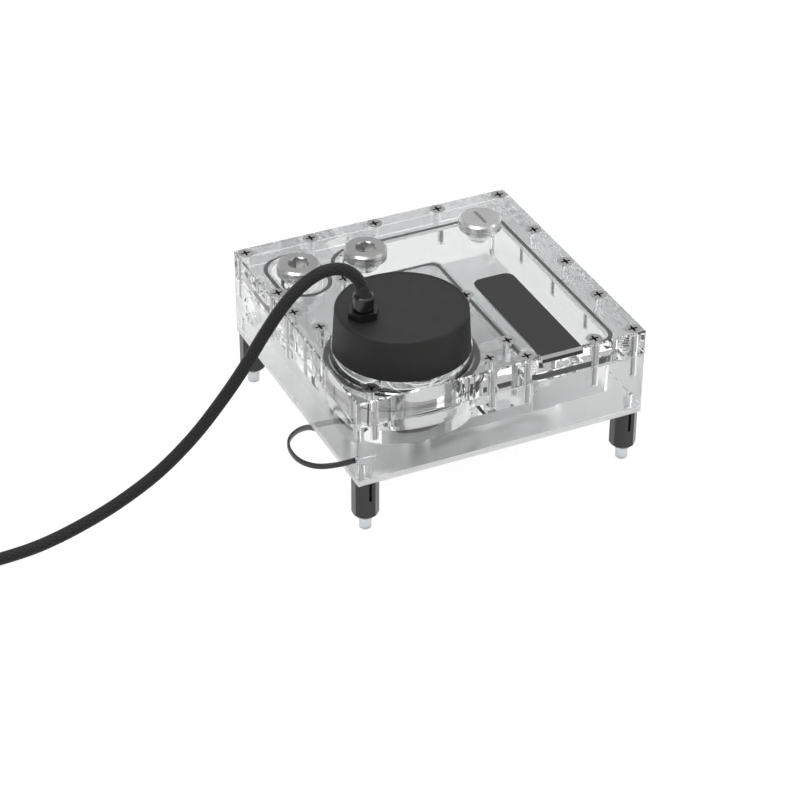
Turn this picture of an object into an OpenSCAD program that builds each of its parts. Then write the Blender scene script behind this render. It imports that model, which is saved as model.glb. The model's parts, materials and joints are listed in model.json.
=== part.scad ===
// Coolant pump reservoir: a clear acrylic block that holds the coolant chamber,
// a wet-rotor pump sunk in its front left corner, three screw plugs on top,
// two open ports, four pin feet, a pump lead and a light lead.
// Millimetres. X runs along the front edge, Y to the back, Z up.
// The origin is under the middle of the block, on the surface it stands on.

/* [Acrylic block] */
// Side of the square block
plate_side = 136; // [135:0.5:142]
// Thickness of the cover plate
cover_t = 12; // [12:0.5:16]
// Thickness of the base block
base_t = 27; // [27:0.5:32]
// Thickness of the sole plate that closes the duct under the base
sole_t = 3; // [2:0.5:5]
// Radius of the upright corners
corner_r = 1.5; // [0.8:0.1:2.5]
// Chamfer along the outer edges
edge_chamfer = 0.6; // [0.2:0.1:0.8]
// Air gap between the cover and the base, which the seals bridge
joint_gap = 0.1; // [0.05:0.05:0.2]
// Air gap between the base and the sole plate
film_t = 0.1; // [0.05:0.05:0.2]

/* [Reservoir chamber] */
// Right wall of the chamber
chamber_side_wall = 13.8; // [13:0.1:15]
// Back wall of the chamber
chamber_back_wall = 15.2; // [14:0.1:16]
// Front wall of the chamber
chamber_front_wall = 9.4; // [9:0.1:12]
// Left side of the deep arm, from the left face
chamber_inner_x = 83.9; // [83.6:0.1:86]
// Front side of the back arm, from the front face
chamber_inner_y = 98; // [97:0.1:99]
// Left end of the back arm, from the left face
chamber_left_x = 40.8; // [40:0.1:42]
// Corner radius of the chamber
chamber_r = 4; // [3:0.5:6]
// Distance from the chamber wall to the middle of its seal
seal_offset = 2.5; // [2.3:0.1:2.8]
// Thickness of the chamber seal cord
seal_cord = 1.8; // [1.4:0.1:2]

/* [Outlet pocket] */
// Middle of the outlet pocket, from the left face
outlet_x = 20.9; // [20.5:0.1:21.5]
// Front end of the outlet pocket's straight, from the front face
outlet_y0 = 105.5; // [105:0.5:108]
// Back end of the outlet pocket's straight, from the front face
outlet_y1 = 117; // [115:0.5:117.5]
// Radius of the outlet pocket
outlet_r = 9.6; // [8.6:0.1:9.8]

/* [Water ways] */
// Height of the inlet duct milled into the underside
duct_h = 5.5; // [5:0.5:7]
// Width of the inlet duct
duct_w = 12; // [10:0.5:14]
// Floor between the duct and the volute
floor_t = 3.5; // [3:0.5:5]
// Diameter of the pump's inlet eye
eye_d = 15; // [12:0.5:17]
// Diameter of the drain from the chamber into the duct
drain_d = 13; // [11:0.5:14]
// Middle of the drain, from the left face
drain_x = 100; // [93:0.5:112]
// Height of the volute
volute_h = 7.5; // [7.5:0.5:9]
// Smallest radius of the volute spiral
volute_r0 = 22.6; // [22:0.1:23.5]
// Largest radius of the volute spiral
volute_r1 = 28; // [26:0.1:29]
// Width of the outlet passage
passage_w = 9; // [7:0.5:10]

/* [Pump] */
// Pump axis, from the left face
pump_inset_x = 36.3; // [36:0.1:37.5]
// Pump axis, from the front face
pump_inset_y = 35.2; // [35:0.1:36.2]
// Diameter of the pump cap at its lower edge
cap_d = 59.6; // [58.6:0.1:60]
// How much the cap's radius shrinks from its lower edge to its top
cap_draft = 1.1; // [0.4:0.1:1.2]
// Height of the cap above the cover plate
cap_proud = 18.5; // [16:0.5:22]
// Depth of the cap's lower edge below the cover's top
cap_sunk = 2.5; // [1:0.5:4]
// Wall of the cap
cap_wall = 1.8; // [1.4:0.1:2.2]
// Outer diameter of the polished motor shell
shell_d = 59; // [58:0.1:59.4]
// Diameter of the shell's clamped collar
collar_d = 62.2; // [62:0.1:62.8]
// Thickness of the pump seal cord
pump_seal_cord = 2.4; // [2:0.1:2.8]
// Height of the shell's nose below its seat
nose_h = 3; // [2.5:0.5:4]
// Middle of the four screws round the pump, from the left face
pump_screw_x = 37.5; // [37:0.1:38]
// Middle of the four screws round the pump, from the front face
pump_screw_y = 35.5; // [35:0.1:36]
// Spacing of the screws round the pump, along X
pump_screw_dx = 55; // [54:0.5:57]
// Spacing of the screws round the pump, along Y
pump_screw_dy = 52; // [51:0.5:54]

/* [Rotor] */
// Impeller diameter
impeller_d = 42; // [36:0.5:43]
// Number of impeller blades
blade_count = 6; // [4:1:8]
// Height of the impeller blades
blade_h = 3.8; // [3:0.1:4]
// Thickness of a blade
blade_t = 1.4; // [1:0.1:2]
// Thickness of the two shrouds
shroud_t = 0.9; // [0.8:0.1:1.1]
// Outer diameter of the separation can's cup
can_d = 32.4; // [31:0.1:33]
// Wall of the separation can
can_t = 0.7; // [0.5:0.1:0.9]
// Radial gap between the rotor and the can
rotor_gap = 0.6; // [0.4:0.1:0.8]
// Diameter of the ceramic shaft
shaft_d = 4; // [3:0.5:5]
// Radial clearance of the running fit on the shaft
shaft_fit = 0.05; // [0.02:0.01:0.08]

/* [Screws] */
// Distance from the screws to the front, left and back faces
screw_inset = 4.3; // [4.3:0.1:4.6]
// Distance from the right row of screws to the right face
right_inset = 4.7; // [4.4:0.1:5]
// Spacing of the right row of screws
right_step = 30.7; // [30:0.1:31]
// Shank diameter
screw_d = 3.5; // [3:0.1:3.6]
// Head diameter
screw_head_d = 7.2; // [6.4:0.1:7.4]
// Length of the screws, head included
screw_l = 22; // [18:1:24]
// Clearance round screws, pins and other fixed pieces
snug = 0.05; // [0.02:0.01:0.1]

/* [Port plugs] */
// Thread diameter of the ports
port_d = 13.16; // [12.8:0.01:13.4]
// Thread pitch of the ports
port_pitch = 1.337; // [1:0.001:1.5]
// Depth of the plug's thread in the cover
plug_thread_l = 6; // [5:0.5:7]
// Head diameter of the plugs
plug_head_d = 19.4; // [18.5:0.1:20]
// Head height of the plugs
plug_head_h = 5.2; // [4.6:0.1:6]
// Width across the flats of the hexagon socket
socket_af = 8.6; // [6:0.1:9]
// Thickness of the plug seal cord
plug_seal_cord = 1.6; // [1.4:0.1:1.8]
// Radial clearance of the plug thread in its port
thread_fit = 0.06; // [0.03:0.01:0.09]
// Gap under the plug head
head_gap = 0.3; // [0.2:0.05:0.4]

/* [Side ports] */
// Height of the port axis above the underside of the block
side_port_z = 20.5; // [20:0.1:21.5]
// Left port, from the front face
left_port_y = 117; // [112:0.5:118]
// Back port, from the left face
back_port_x = 51.5; // [50:0.5:60]

/* [Trim bar] */
// Left side of the bar, from the left face
bar_x = 85.4; // [85:0.1:87]
// Width of the bar
bar_w = 19.3; // [18:0.1:20]
// Length of the bar
bar_l = 68; // [60:1:72]
// Thickness of the bar
bar_t = 3; // [2:0.1:4]
// Bevel along the bar's front edge
bar_bevel = 1.2; // [0.4:0.1:1.4]
// Radius of the bar's two far corners
bar_r = 4; // [2:0.5:6]

/* [Feet] */
// Spacing of the feet, both ways
foot_pitch = 124.5; // [123.5:0.1:125]
// Length of the black sleeve
sleeve_l = 19; // [16:0.5:24]
// Width across the flats of the eight-sided sleeve
sleeve_af = 11; // [10:0.1:11]
// Length of the pin tip below the sleeve
tip_l = 7; // [6:0.5:9]
// Diameter of the tip's straight end
tip_d = 5.4; // [4.8:0.1:5.8]
// Diameter of the pin's shank
pin_d = 4.2; // [3.8:0.1:4.6]
// Length of the shank inside the block
pin_grip = 9; // [7:0.5:9]

/* [Leads] */
// Diameter of the braided pump lead
lead_d = 5.4; // [5.2:0.1:5.6]
// Distance of the gland from the pump axis
gland_r = 17.6; // [14:0.1:18]
// Direction of the gland seen from the pump axis
gland_angle = 178; // [160:1:200]
// Width across the flats of the gland's base
gland_af = 12; // [11:0.5:13]
// Width of the flat light lead
light_w = 2.5; // [2:0.1:2.6]
// Thickness of the flat light lead
light_t = 1.3; // [1:0.1:1.4]
// Distance of the light's bore from the front face
light_y = 3.5; // [3.3:0.1:4]
// Height of the light's bore above the underside
light_z = 12; // [11:0.5:14]

/* [Hidden] */
$fn = 48;

// Places of the block's corner, so that sizes can be given from the left and front faces
edge0 = -plate_side / 2;
edge1 = plate_side / 2;
tiny = 0.01;
seal_h = seal_cord - 0.3;
groove_h = seal_h - joint_gap + snug;
reach = 60;

// Levels
z_bottom = sleeve_l + tip_l;
z_base = z_bottom + sole_t;
z_seam = z_base + base_t;
z_base_top = z_seam - joint_gap;
z_sole_top = z_base - film_t;
z_top = z_seam + cover_t;
z_floor = z_base + duct_h + floor_t;
z_nose = z_floor + volute_h;
z_seat = z_nose + nose_h;
z_cap0 = z_top - cap_sunk;
z_cap1 = z_top + cap_proud;

// Pump
pump_x = edge0 + pump_inset_x;
pump_y = edge0 + pump_inset_y;
cap_gap = 0.4;
nose_d = collar_d - 4.4;
shell_wall = 2;
lip_h = 4.5;
ledge_h = 1;
cavity_r = shell_d / 2 - shell_wall;
lip_r = cap_d / 2 - cap_wall - 0.1;
lip_wall = 1.4;
cap_top_t = 2.2;
cap_round = 1.2;
rim_w = 1.3;
rim_d = 0.25;
seat_groove_r = collar_d / 2 + pump_seal_cord + 0.2;
seat_groove_h = pump_seal_cord + 0.4;

// Rotor
impeller_gap = 0.6;
can_r = can_d / 2;
can_top_z = z_seat + 13.6;
boss_h = 2.2;
boss_r = 4.4;
rotor_r = can_r - can_t - rotor_gap;
hub_r = 5.6;
bush_r = shaft_d / 2 + 1.6;
z_imp0 = z_floor + impeller_gap;
z_imp1 = z_imp0 + shroud_t + blade_h + shroud_t;
z_can = z_nose + can_t;
z_magnet0 = z_can + 0.9;
z_hub1 = can_top_z - can_t - boss_h - 0.5;
z_magnet1 = z_hub1 - 0.9;
eye_r = eye_d / 2;

// Stator
tooth_w = 5;
shoe_t = 1.4;
yoke_t = 3.4;
stator_gap = 0.3;
coil_w = 2.2;
stator_z0 = z_seat + 1.6;
stator_h = 10;
board_t = 1.6;
z_ledge = z_cap0 - 3.4;

// Screws
screw_step = (plate_side - screw_inset - right_inset) / 4;
cover_screw_xy = concat(
    [for (i = [0:4]) [edge0 + screw_inset + i * screw_step, edge1 - screw_inset]],
    [for (i = [0:3]) [edge1 - right_inset, edge0 + screw_inset + i * right_step]],
    [[edge0 + 112.4, edge0 + screw_inset], [edge0 + 80, edge0 + screw_inset],
     [edge0 + 78.2, edge0 + 18.5], [edge0 + 78.2, edge0 + 58.8], [edge0 + 35.4, edge0 + 93.4],
     [edge0 + screw_inset, edge0 + 94.6], [edge0 + screw_inset, edge0 + 77]]);
pump_screw_xy = [for (i = [-1, 1], j = [-1, 1])
    [edge0 + pump_screw_x + i * pump_screw_dx / 2, edge0 + pump_screw_y + j * pump_screw_dy / 2]];
head_taper_h = (screw_head_d - screw_d) / 2;
head_land = 0.3;

// Plugs: place, then socket or slot
outlet_plug_xy = [edge0 + 19, edge0 + 105.7];
return_plug_xy = [edge0 + 51.5, edge0 + 105.8];
fill_plug_xy = [edge0 + 109.8, edge0 + 108.2];
plug_xy = [outlet_plug_xy, return_plug_xy, fill_plug_xy];
port_core_d = 10.6;
port_depth = plug_thread_l + 1.2;
plug_groove_r = plug_head_d / 2 - 1.7 - plug_seal_cord / 2;

// Side ports
side_port_l = 10;

// Trim bar
slot_gap = 0.1;

// Feet
foot_xy = [for (i = [-1, 1], j = [-1, 1]) [i * foot_pitch / 2, j * foot_pitch / 2]];
crown_h = 2.2;
crown_notch = 1.6;
slit_w = 1.2;
slit_l = 9;
tip_collar_d = 7.4;

// Gland
gland_x = pump_x + gland_r * cos(gland_angle);
gland_y = pump_y + gland_r * sin(gland_angle);
gland_base_h = 3.2;
gland_neck_h = 1.6;
gland_nut_d = 9.2;
gland_nut_h = 5.2;
gland_thread_d = 8.4;
locknut_h = 2.4;
gland_bore_d = lead_d + 2 * snug;
z_gland1 = z_cap1 + gland_base_h + gland_neck_h + gland_nut_h;

// Light
light_bore_d = 3.2;
light_depth = 9;

// Routes: x, y, z and, on the flat lead, its roll in degrees
pump_route = [[gland_x, gland_y, z_gland1], [-50.2, -32, 100.8], [-52.2, -31.6, 105.2],
    [-55.9, -31, 108.9], [-61, -30.6, 110.9], [-68, -30, 110.2], [-76, -29.5, 105.7],
    [-84, -29, 98], [-93, -28.5, 85.6], [-102, -28, 71.6], [-112.6, -27.5, 57.4],
    [-125.4, -27, 42.8], [-141.4, -26.4, 29], [-159.6, -25.4, 18], [-177.4, -24, 10],
    [-194, -22.8, 4.8], [-209, -22, 2.8], [-224, -22, 2.75], [-238, -22, 2.75]];
light_route = [[edge0, edge0 + light_y, z_bottom + light_z, 0], [-76, -64, 37.8, 0],
    [-83, -59.4, 36.2, 0], [-87, -51, 34.6, 0], [-87.4, -41, 33.8, 0], [-84, -32, 32.6, 0],
    [-76.6, -23.4, 29.6, 0], [-68, -15.4, 24, 0], [-60, -8, 16, 10], [-53, 0, 8.6, 40],
    [-48.4, 9, 3.4, 70], [-46.4, 20, 1.1, 90], [-46, 34, 0.8, 90], [-46, 50, 0.8, 90],
    [-46, 66, 0.8, 90], [-46, 82, 0.8, 90], [-45, 97, 0.8, 90], [-41, 109, 0.8, 90],
    [-35.4, 119, 0.8, 90], [-31.6, 127, 0.8, 90], [-30.9, 131, 0.8, 90]];

// Coils
pump_coil_c = [-240, 10.8];
pump_coil_r = 30;
pump_coil_lane = 2.8;
light_coil_c = [-14, 131];
light_coil_r = 14;
light_coil_lane = 2.9;

// A square of side s with corner radius r
module round_square(s, r) {
    square([s - 2 * r, s], center = true);
    square([s, s - 2 * r], center = true);
    for (i = [-1, 1], j = [-1, 1]) translate([i * (s / 2 - r), j * (s / 2 - r)]) circle(r);
}

// A plate of the block between z0 and z1, with its top and bottom edges chamfered by c1 and c0
module plate(z0, z1, c0, c1) {
    h = edge1;
    profile = [[-h + c0, z0], [h - c0, z0], [h, z0 + c0], [h, z1 - c1], [h - c1, z1],
        [-h + c1, z1], [-h, z1 - c1], [-h, z0 + c0]];
    intersection() {
        translate([0, 0, z0]) linear_extrude(z1 - z0) round_square(plate_side, corner_r);
        translate([0, edge1 + 1, 0]) rotate([90, 0, 0]) linear_extrude(plate_side + 2) polygon(profile);
        translate([-edge1 - 1, 0, 0]) rotate([90, 0, 90]) linear_extrude(plate_side + 2) polygon(profile);
    }
}

// Outline of the chamber, moved outwards by o
module chamber_outline(o) {
    x0 = edge0 + chamber_left_x - o;
    xi = edge0 + chamber_inner_x - o;
    x1 = edge1 - chamber_side_wall + o;
    y0 = edge0 + chamber_front_wall - o;
    yi = edge0 + chamber_inner_y - o;
    y1 = edge1 - chamber_back_wall + o;
    r = chamber_r + o;
    end_r = (y1 - yi) / 2;
    inner_r = chamber_r;
    translate([x0 + end_r, yi]) square([x1 - r - x0 - end_r, y1 - yi]);
    translate([x0 + end_r, yi + end_r]) circle(end_r, $fn = 96);
    translate([xi, y0 + r]) square([x1 - xi, y1 - r - y0 - r]);
    translate([xi + r, y0]) square([x1 - xi - 2 * r, y1 - y0]);
    for (p = [[x1 - r, y1 - r], [x1 - r, y0 + r], [xi + r, y0 + r]]) translate(p) circle(r);
    difference() {
        translate([xi - inner_r, yi - inner_r]) square(inner_r + 1);
        translate([xi - inner_r, yi - inner_r]) circle(inner_r);
    }
}

// Outline of the outlet pocket, moved outwards by o
module outlet_outline(o) {
    for (y = [outlet_y0, outlet_y1]) translate([edge0 + outlet_x, edge0 + y]) circle(outlet_r + o);
    translate([edge0 + outlet_x - outlet_r - o, edge0 + outlet_y0])
        square([2 * (outlet_r + o), outlet_y1 - outlet_y0]);
}

// Spiral of the volute: the radius grows with the angle, from the tongue round to the outlet
function spiral_r(a) = volute_r0 + (volute_r1 - volute_r0) * a / 360;
module volute_outline() {
    polygon([for (a = [0:8:352]) spiral_r(a) * [cos(180 - a), sin(180 - a)]]);
}

// Screw with a countersunk head; the head's top is at z = 0
module countersunk_screw(l) {
    difference() {
        union() {
            translate([0, 0, -head_land]) cylinder(d = screw_head_d, h = head_land);
            translate([0, 0, -head_land - head_taper_h])
                cylinder(d1 = screw_d, d2 = screw_head_d, h = head_taper_h);
            translate([0, 0, -l]) cylinder(d = screw_d, h = l - head_land - head_taper_h);
        }
        for (a = [0, 90]) rotate(a) translate([-2.2, -0.5, -1.7]) cube([4.4, 1, 2]);
    }
}

// The hole that such a screw sits in, from z = 0 down to the depth l
module screw_hole(l) {
    translate([0, 0, -l]) cylinder(d = screw_d + 2 * snug, h = l);
    translate([0, 0, -head_land - head_taper_h])
        cylinder(d1 = screw_d + 2 * snug, d2 = screw_head_d + 2 * snug, h = head_taper_h + tiny);
    translate([0, 0, -head_land]) cylinder(d = screw_head_d + 2 * snug, h = head_land + 1);
}

module at_screws() {
    for (p = concat(cover_screw_xy, pump_screw_xy)) translate([p[0], p[1], z_top]) children();
}

module cover_plate() {
    color([0.93, 0.94, 0.95, 0.35]) difference() {
        plate(z_seam, z_top, 0.25, edge_chamfer);
        translate([pump_x, pump_y, z_seam - 1])
            cylinder(d = cap_d + 2 * cap_gap, h = cover_t + 2, $fn = 96);
        at_screws() screw_hole(cover_t + 1);
        for (p = plug_xy) translate([p[0], p[1], 0]) {
            translate([0, 0, z_top - port_depth]) cylinder(d = port_d, h = port_depth + 1);
            translate([0, 0, z_top - 0.6]) cylinder(d1 = port_d, d2 = port_d + 1.4, h = 0.61);
            translate([0, 0, z_seam - 1]) cylinder(d = port_core_d, h = cover_t);
        }
        bar_slot();
        translate([0, 0, z_seam - tiny]) linear_extrude(groove_h + tiny) difference() {
            chamber_outline(seal_offset + seal_cord / 2 + snug);
            chamber_outline(seal_offset - seal_cord / 2 - snug);
        }
        translate([0, 0, z_seam - tiny]) linear_extrude(groove_h + tiny) difference() {
            outlet_outline(seal_offset + seal_cord / 2 + snug);
            outlet_outline(seal_offset - seal_cord / 2 - snug);
        }
    }
}

// Slot that is open at the front face and holds the trim bar
module bar_slot() {
    w = bar_w + 2 * slot_gap;
    r = bar_r + slot_gap;
    translate([edge0 + bar_x - slot_gap, 0, z_top - bar_t - slot_gap]) linear_extrude(bar_t + slot_gap + 1) {
        translate([0, edge0 - 1]) square([w, bar_l + slot_gap - r + 1]);
        translate([r, edge0]) square([w - 2 * r, bar_l + slot_gap]);
        for (x = [r, w - r]) translate([x, edge0 + bar_l + slot_gap - r]) circle(r);
    }
}

module trim_bar() {
    color([0.06, 0.06, 0.06]) difference() {
        translate([edge0 + bar_x, 0, z_top - bar_t]) linear_extrude(bar_t) {
            translate([0, edge0]) square([bar_w, bar_l - bar_r]);
            translate([bar_r, edge0]) square([bar_w - 2 * bar_r, bar_l]);
            for (x = [bar_r, bar_w - bar_r]) translate([x, edge0 + bar_l - bar_r]) circle(bar_r);
        }
        translate([edge0 + bar_x - 1, edge0, z_top]) rotate([0, 90, 0])
            cylinder(r = bar_bevel, h = bar_w + 2, $fn = 4);
    }
}

module water_ways() {
    // Chamber and outlet pocket
    translate([0, 0, z_floor]) linear_extrude(reach) chamber_outline(0);
    translate([0, 0, z_floor]) linear_extrude(reach) outlet_outline(0);
    // Passage from the volute to the outlet pocket
    passage_x = pump_x - volute_r1 + 0.6;
    translate([passage_x, pump_y, z_floor])
        cube([passage_w, edge0 + outlet_y0 - pump_y, volute_h]);
    // Volute, inlet eye, duct and drain
    translate([pump_x, pump_y, z_floor]) linear_extrude(volute_h + tiny) volute_outline();
    translate([pump_x, pump_y, z_base - 1]) cylinder(d = eye_d, h = duct_h + floor_t + 2);
    dx = edge0 + drain_x;
    translate([pump_x, pump_y - duct_w / 2, z_base - 1]) cube([dx - pump_x, duct_w, duct_h + 1]);
    for (x = [pump_x, dx]) translate([x, pump_y, z_base - 1]) cylinder(d = duct_w, h = duct_h + 1);
    translate([dx, pump_y, z_base]) cylinder(d = drain_d, h = duct_h + floor_t + 1);
}

module base_block() {
    color([0.93, 0.94, 0.95, 0.35]) difference() {
        plate(z_base, z_base_top, 0.25, 0.25);
        water_ways();
        // Seat of the pump
        translate([pump_x, pump_y, z_nose]) cylinder(d = nose_d + 2 * snug, h = reach, $fn = 96);
        translate([pump_x, pump_y, z_seat]) cylinder(d = collar_d + 2 * snug, h = reach, $fn = 96);
        translate([pump_x, pump_y, z_seam - seat_groove_h])
            cylinder(r = seat_groove_r, h = reach, $fn = 96);
        at_screws() translate([0, 0, -screw_l - 1]) cylinder(d = screw_d + 2 * snug, h = reach);
        for (p = foot_xy) translate([p[0], p[1], z_base - 1])
            cylinder(d = pin_d + 2 * snug, h = pin_grip - sole_t + 1 + snug);
        // Side ports
        translate([edge0 - 1, edge0 + left_port_y, z_bottom + side_port_z]) rotate([0, 90, 0]) {
            cylinder(d = port_d, h = side_port_l + 1);
            cylinder(d = port_core_d, h = outlet_x + 1);
            cylinder(d1 = port_d + 3, d2 = port_d, h = 1.75);
        }
        translate([edge0 + back_port_x, edge1 + 1, z_bottom + side_port_z]) rotate([90, 0, 0]) {
            cylinder(d = port_d, h = side_port_l + 1);
            cylinder(d = port_core_d, h = chamber_back_wall + 4);
            cylinder(d1 = port_d + 3, d2 = port_d, h = 1.75);
        }
        // Bore of the light
        translate([edge0 - 1, edge0 + light_y, z_bottom + light_z]) rotate([0, 90, 0])
            cylinder(d = light_bore_d, h = light_depth + 1);
    }
}

module sole_plate() {
    color([0.95, 0.96, 0.97, 0.35]) difference() {
        plate(z_bottom, z_sole_top, edge_chamfer, 0.25);
        for (p = foot_xy) translate([p[0], p[1], z_bottom - 1])
            cylinder(d = pin_d + 2 * snug, h = sole_t + 2);
    }
}

// Seal cords lie in their grooves, squeezed flat by the base
module chamber_seal() {
    color([0.05, 0.05, 0.05]) translate([0, 0, z_base_top]) linear_extrude(seal_h) difference() {
        chamber_outline(seal_offset + seal_cord / 2);
        chamber_outline(seal_offset - seal_cord / 2);
    }
}

module outlet_seal() {
    color([0.05, 0.05, 0.05]) translate([0, 0, z_base_top]) linear_extrude(seal_h) difference() {
        outlet_outline(seal_offset + seal_cord / 2);
        outlet_outline(seal_offset - seal_cord / 2);
    }
}

module cover_screws() {
    color([0.55, 0.55, 0.55]) for (p = cover_screw_xy)
        translate([p[0], p[1], z_top]) countersunk_screw(screw_l);
}

module pump_screws() {
    color([0.55, 0.55, 0.55]) for (p = pump_screw_xy)
        translate([p[0], p[1], z_top]) countersunk_screw(screw_l);
}

// Turned shell of the motor: nose, clamped collar, polished wall, ledge and lip
module motor_shell() {
    nose_r = nose_d / 2;
    wall_r = shell_d / 2;
    color([0.8, 0.8, 0.8]) translate([pump_x, pump_y, 0]) rotate_extrude($fn = 96) polygon([
        [cavity_r, z_can], [nose_r, z_can], [nose_r, z_seat], [collar_d / 2, z_seat],
        [collar_d / 2, z_seam - 0.5], [collar_d / 2 - 0.5, z_seam], [wall_r, z_seam],
        [wall_r, z_cap0], [lip_r, z_cap0], [lip_r, z_cap0 + lip_h], [lip_r - lip_wall, z_cap0 + lip_h],
        [lip_r - lip_wall, z_ledge + ledge_h], [cavity_r - 2, z_ledge + ledge_h],
        [cavity_r - 2, z_ledge], [cavity_r, z_ledge]]);
}

module pump_seal() {
    color([0.05, 0.05, 0.05]) translate([pump_x, pump_y, z_seam - pump_seal_cord / 2 - 0.1])
        rotate_extrude($fn = 96) translate([collar_d / 2 + 0.1 + pump_seal_cord / 2, 0])
            circle(d = pump_seal_cord, $fn = 24);
}

// Drawn can between the wet rotor and the dry stator, with the boss that holds the shaft
module separation_can() {
    nose_r = nose_d / 2;
    color([0.75, 0.75, 0.74]) translate([pump_x, pump_y, 0]) rotate_extrude($fn = 96) polygon(concat(
        [[can_r - can_t, z_nose], [nose_r, z_nose], [nose_r, z_can], [can_r, z_can]],
        [for (a = [0:15:90]) [can_r - 3 + 3 * cos(a), can_top_z - 3 + 3 * sin(a)]],
        [[0, can_top_z], [0, can_top_z - can_t], [shaft_d / 2, can_top_z - can_t],
         [shaft_d / 2, can_top_z - can_t - boss_h], [boss_r, can_top_z - can_t - boss_h],
         [boss_r, can_top_z - can_t]],
        [for (a = [90:-15:0]) [can_r - 3 + (3 - can_t) * cos(a), can_top_z - 3 + (3 - can_t) * sin(a)]]));
}

module bearing_shaft() {
    z0 = z_imp0 + shroud_t + 1.2;
    color([0.95, 0.94, 0.9]) translate([pump_x, pump_y, z0])
        cylinder(d = shaft_d, h = can_top_z - can_t - z0);
}

module stator_core() {
    shoe_r0 = can_r + stator_gap;
    color([0.45, 0.46, 0.48]) translate([pump_x, pump_y, stator_z0]) linear_extrude(stator_h) {
        difference() {
            circle(cavity_r - snug, $fn = 96);
            circle(cavity_r - yoke_t, $fn = 96);
        }
        for (k = [0:5]) rotate(60 * k) {
            translate([shoe_r0 + 0.4, -tooth_w / 2]) square([cavity_r - yoke_t - shoe_r0, tooth_w]);
            intersection() {
                difference() {
                    circle(shoe_r0 + shoe_t, $fn = 96);
                    circle(shoe_r0, $fn = 96);
                }
                polygon([[0, 0], [30, -12], [30, 12]]);
            }
        }
    }
}

module stator_coils() {
    r0 = can_r + stator_gap + shoe_t + 0.3;
    // The coil's square corners stay clear of the round yoke
    r1 = sqrt(pow(cavity_r - yoke_t, 2) - pow(tooth_w / 2 + coil_w, 2)) - 0.2;
    color([0.72, 0.4, 0.2]) translate([pump_x, pump_y, stator_z0]) for (k = [0:5]) rotate(60 * k)
        difference() {
            translate([r0, -tooth_w / 2 - coil_w, -1.1])
                cube([r1 - r0, tooth_w + 2 * coil_w, stator_h + 2.2]);
            translate([r0 - 1, -tooth_w / 2, 0]) cube([r1 - r0 + 2, tooth_w, stator_h]);
        }
}

module driver_board() {
    color([0.1, 0.3, 0.16]) translate([pump_x, pump_y, z_ledge + ledge_h]) difference() {
        cylinder(r = lip_r - lip_wall - 0.1, h = board_t);
        for (a = [60, 180, 300]) rotate(a) translate([cavity_r - 4.4, 0, -1])
            cylinder(d = 2.4, h = board_t + 2);
    }
}

// Two capacitors, the driver chip and the socket of the lead
module board_parts() {
    z0 = z_ledge + ledge_h + board_t;
    color([0.2, 0.2, 0.22]) {
        for (a = [20, 320]) translate([pump_x + 15 * cos(a), pump_y + 15 * sin(a), z0])
            cylinder(d = 8, h = 9);
        translate([pump_x - 4, pump_y + 6, z0]) cube([9, 9, 1.4]);
        translate([gland_x - 5, gland_y - 3, z0]) cube([10, 6, 5]);
    }
}

module inner_leads() {
    z0 = z_ledge + ledge_h + board_t + 5;
    color([0.15, 0.15, 0.15]) for (i = [-1, 1], j = [-1, 1])
        translate([gland_x + 0.9 * i, gland_y + 0.9 * j, z0]) cylinder(d = 1.3, h = z_cap1 - z0 - 1);
}

// Moulded cap with a rounded rim and a shallow recess inside it
module pump_cap() {
    r = cap_d / 2;
    rt = r - cap_draft;
    color([0.16, 0.16, 0.155]) difference() {
        translate([pump_x, pump_y, 0]) rotate_extrude($fn = 96) polygon(concat(
            [[0, z_cap1 - rim_d], [rt - rim_w - rim_d, z_cap1 - rim_d], [rt - rim_w, z_cap1]],
            [for (a = [90:-15:0])
                [rt - cap_round + cap_round * cos(a), z_cap1 - cap_round + cap_round * sin(a)]],
            [[r, z_cap0 + 0.3], [r - 0.3, z_cap0], [r - cap_wall, z_cap0],
             [r - cap_wall, z_cap0 + lip_h + 0.4], [rt - cap_wall, z_cap1 - cap_top_t - 1],
             [rt - cap_wall - 1, z_cap1 - cap_top_t], [0, z_cap1 - cap_top_t]]));
        translate([gland_x, gland_y, z_cap1 - cap_top_t - 1])
            cylinder(d = gland_thread_d + 2 * snug, h = 6);
    }
}

// One backward-curved blade, from the eye to the rim
function blade_point(s, side) =
    let (r = eye_r + 0.8 + s * (impeller_d / 2 - eye_r - 1.9), a = -62 * s)
    [r * cos(a), r * sin(a)] + side * blade_t / 2 * [sin(a - 40), -cos(a - 40)];
module blade() {
    n = 7;
    polygon(concat([for (i = [0:n]) blade_point(i / n, 1)], [for (i = [n:-1:0]) blade_point(i / n, -1)]));
}

// Closed impeller: front shroud with the eye, blades, back shroud and hub
module impeller() {
    r = impeller_d / 2;
    z_blade0 = z_imp0 + shroud_t;
    color([0.12, 0.12, 0.13]) translate([pump_x, pump_y, 0]) {
        translate([0, 0, z_imp0]) difference() {
            cylinder(r = r, h = shroud_t);
            translate([0, 0, -1]) cylinder(r = eye_r - 0.4, h = shroud_t + 2);
        }
        translate([0, 0, z_blade0 - shroud_t / 3]) for (k = [1:blade_count])
            rotate(k * 360 / blade_count) linear_extrude(blade_h + shroud_t * 2 / 3) blade();
        rotate_extrude() polygon([[bush_r, z_blade0 + 0.6], [hub_r - 1.4, z_blade0 + 0.6],
            [hub_r, z_imp1 - shroud_t - 1], [hub_r + 2, z_imp1 - shroud_t], [r, z_imp1 - shroud_t],
            [r, z_imp1], [rotor_r, z_imp1], [rotor_r, z_magnet0], [hub_r, z_magnet0], [hub_r, z_magnet1],
            [bush_r, z_magnet1]]);
    }
}

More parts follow.
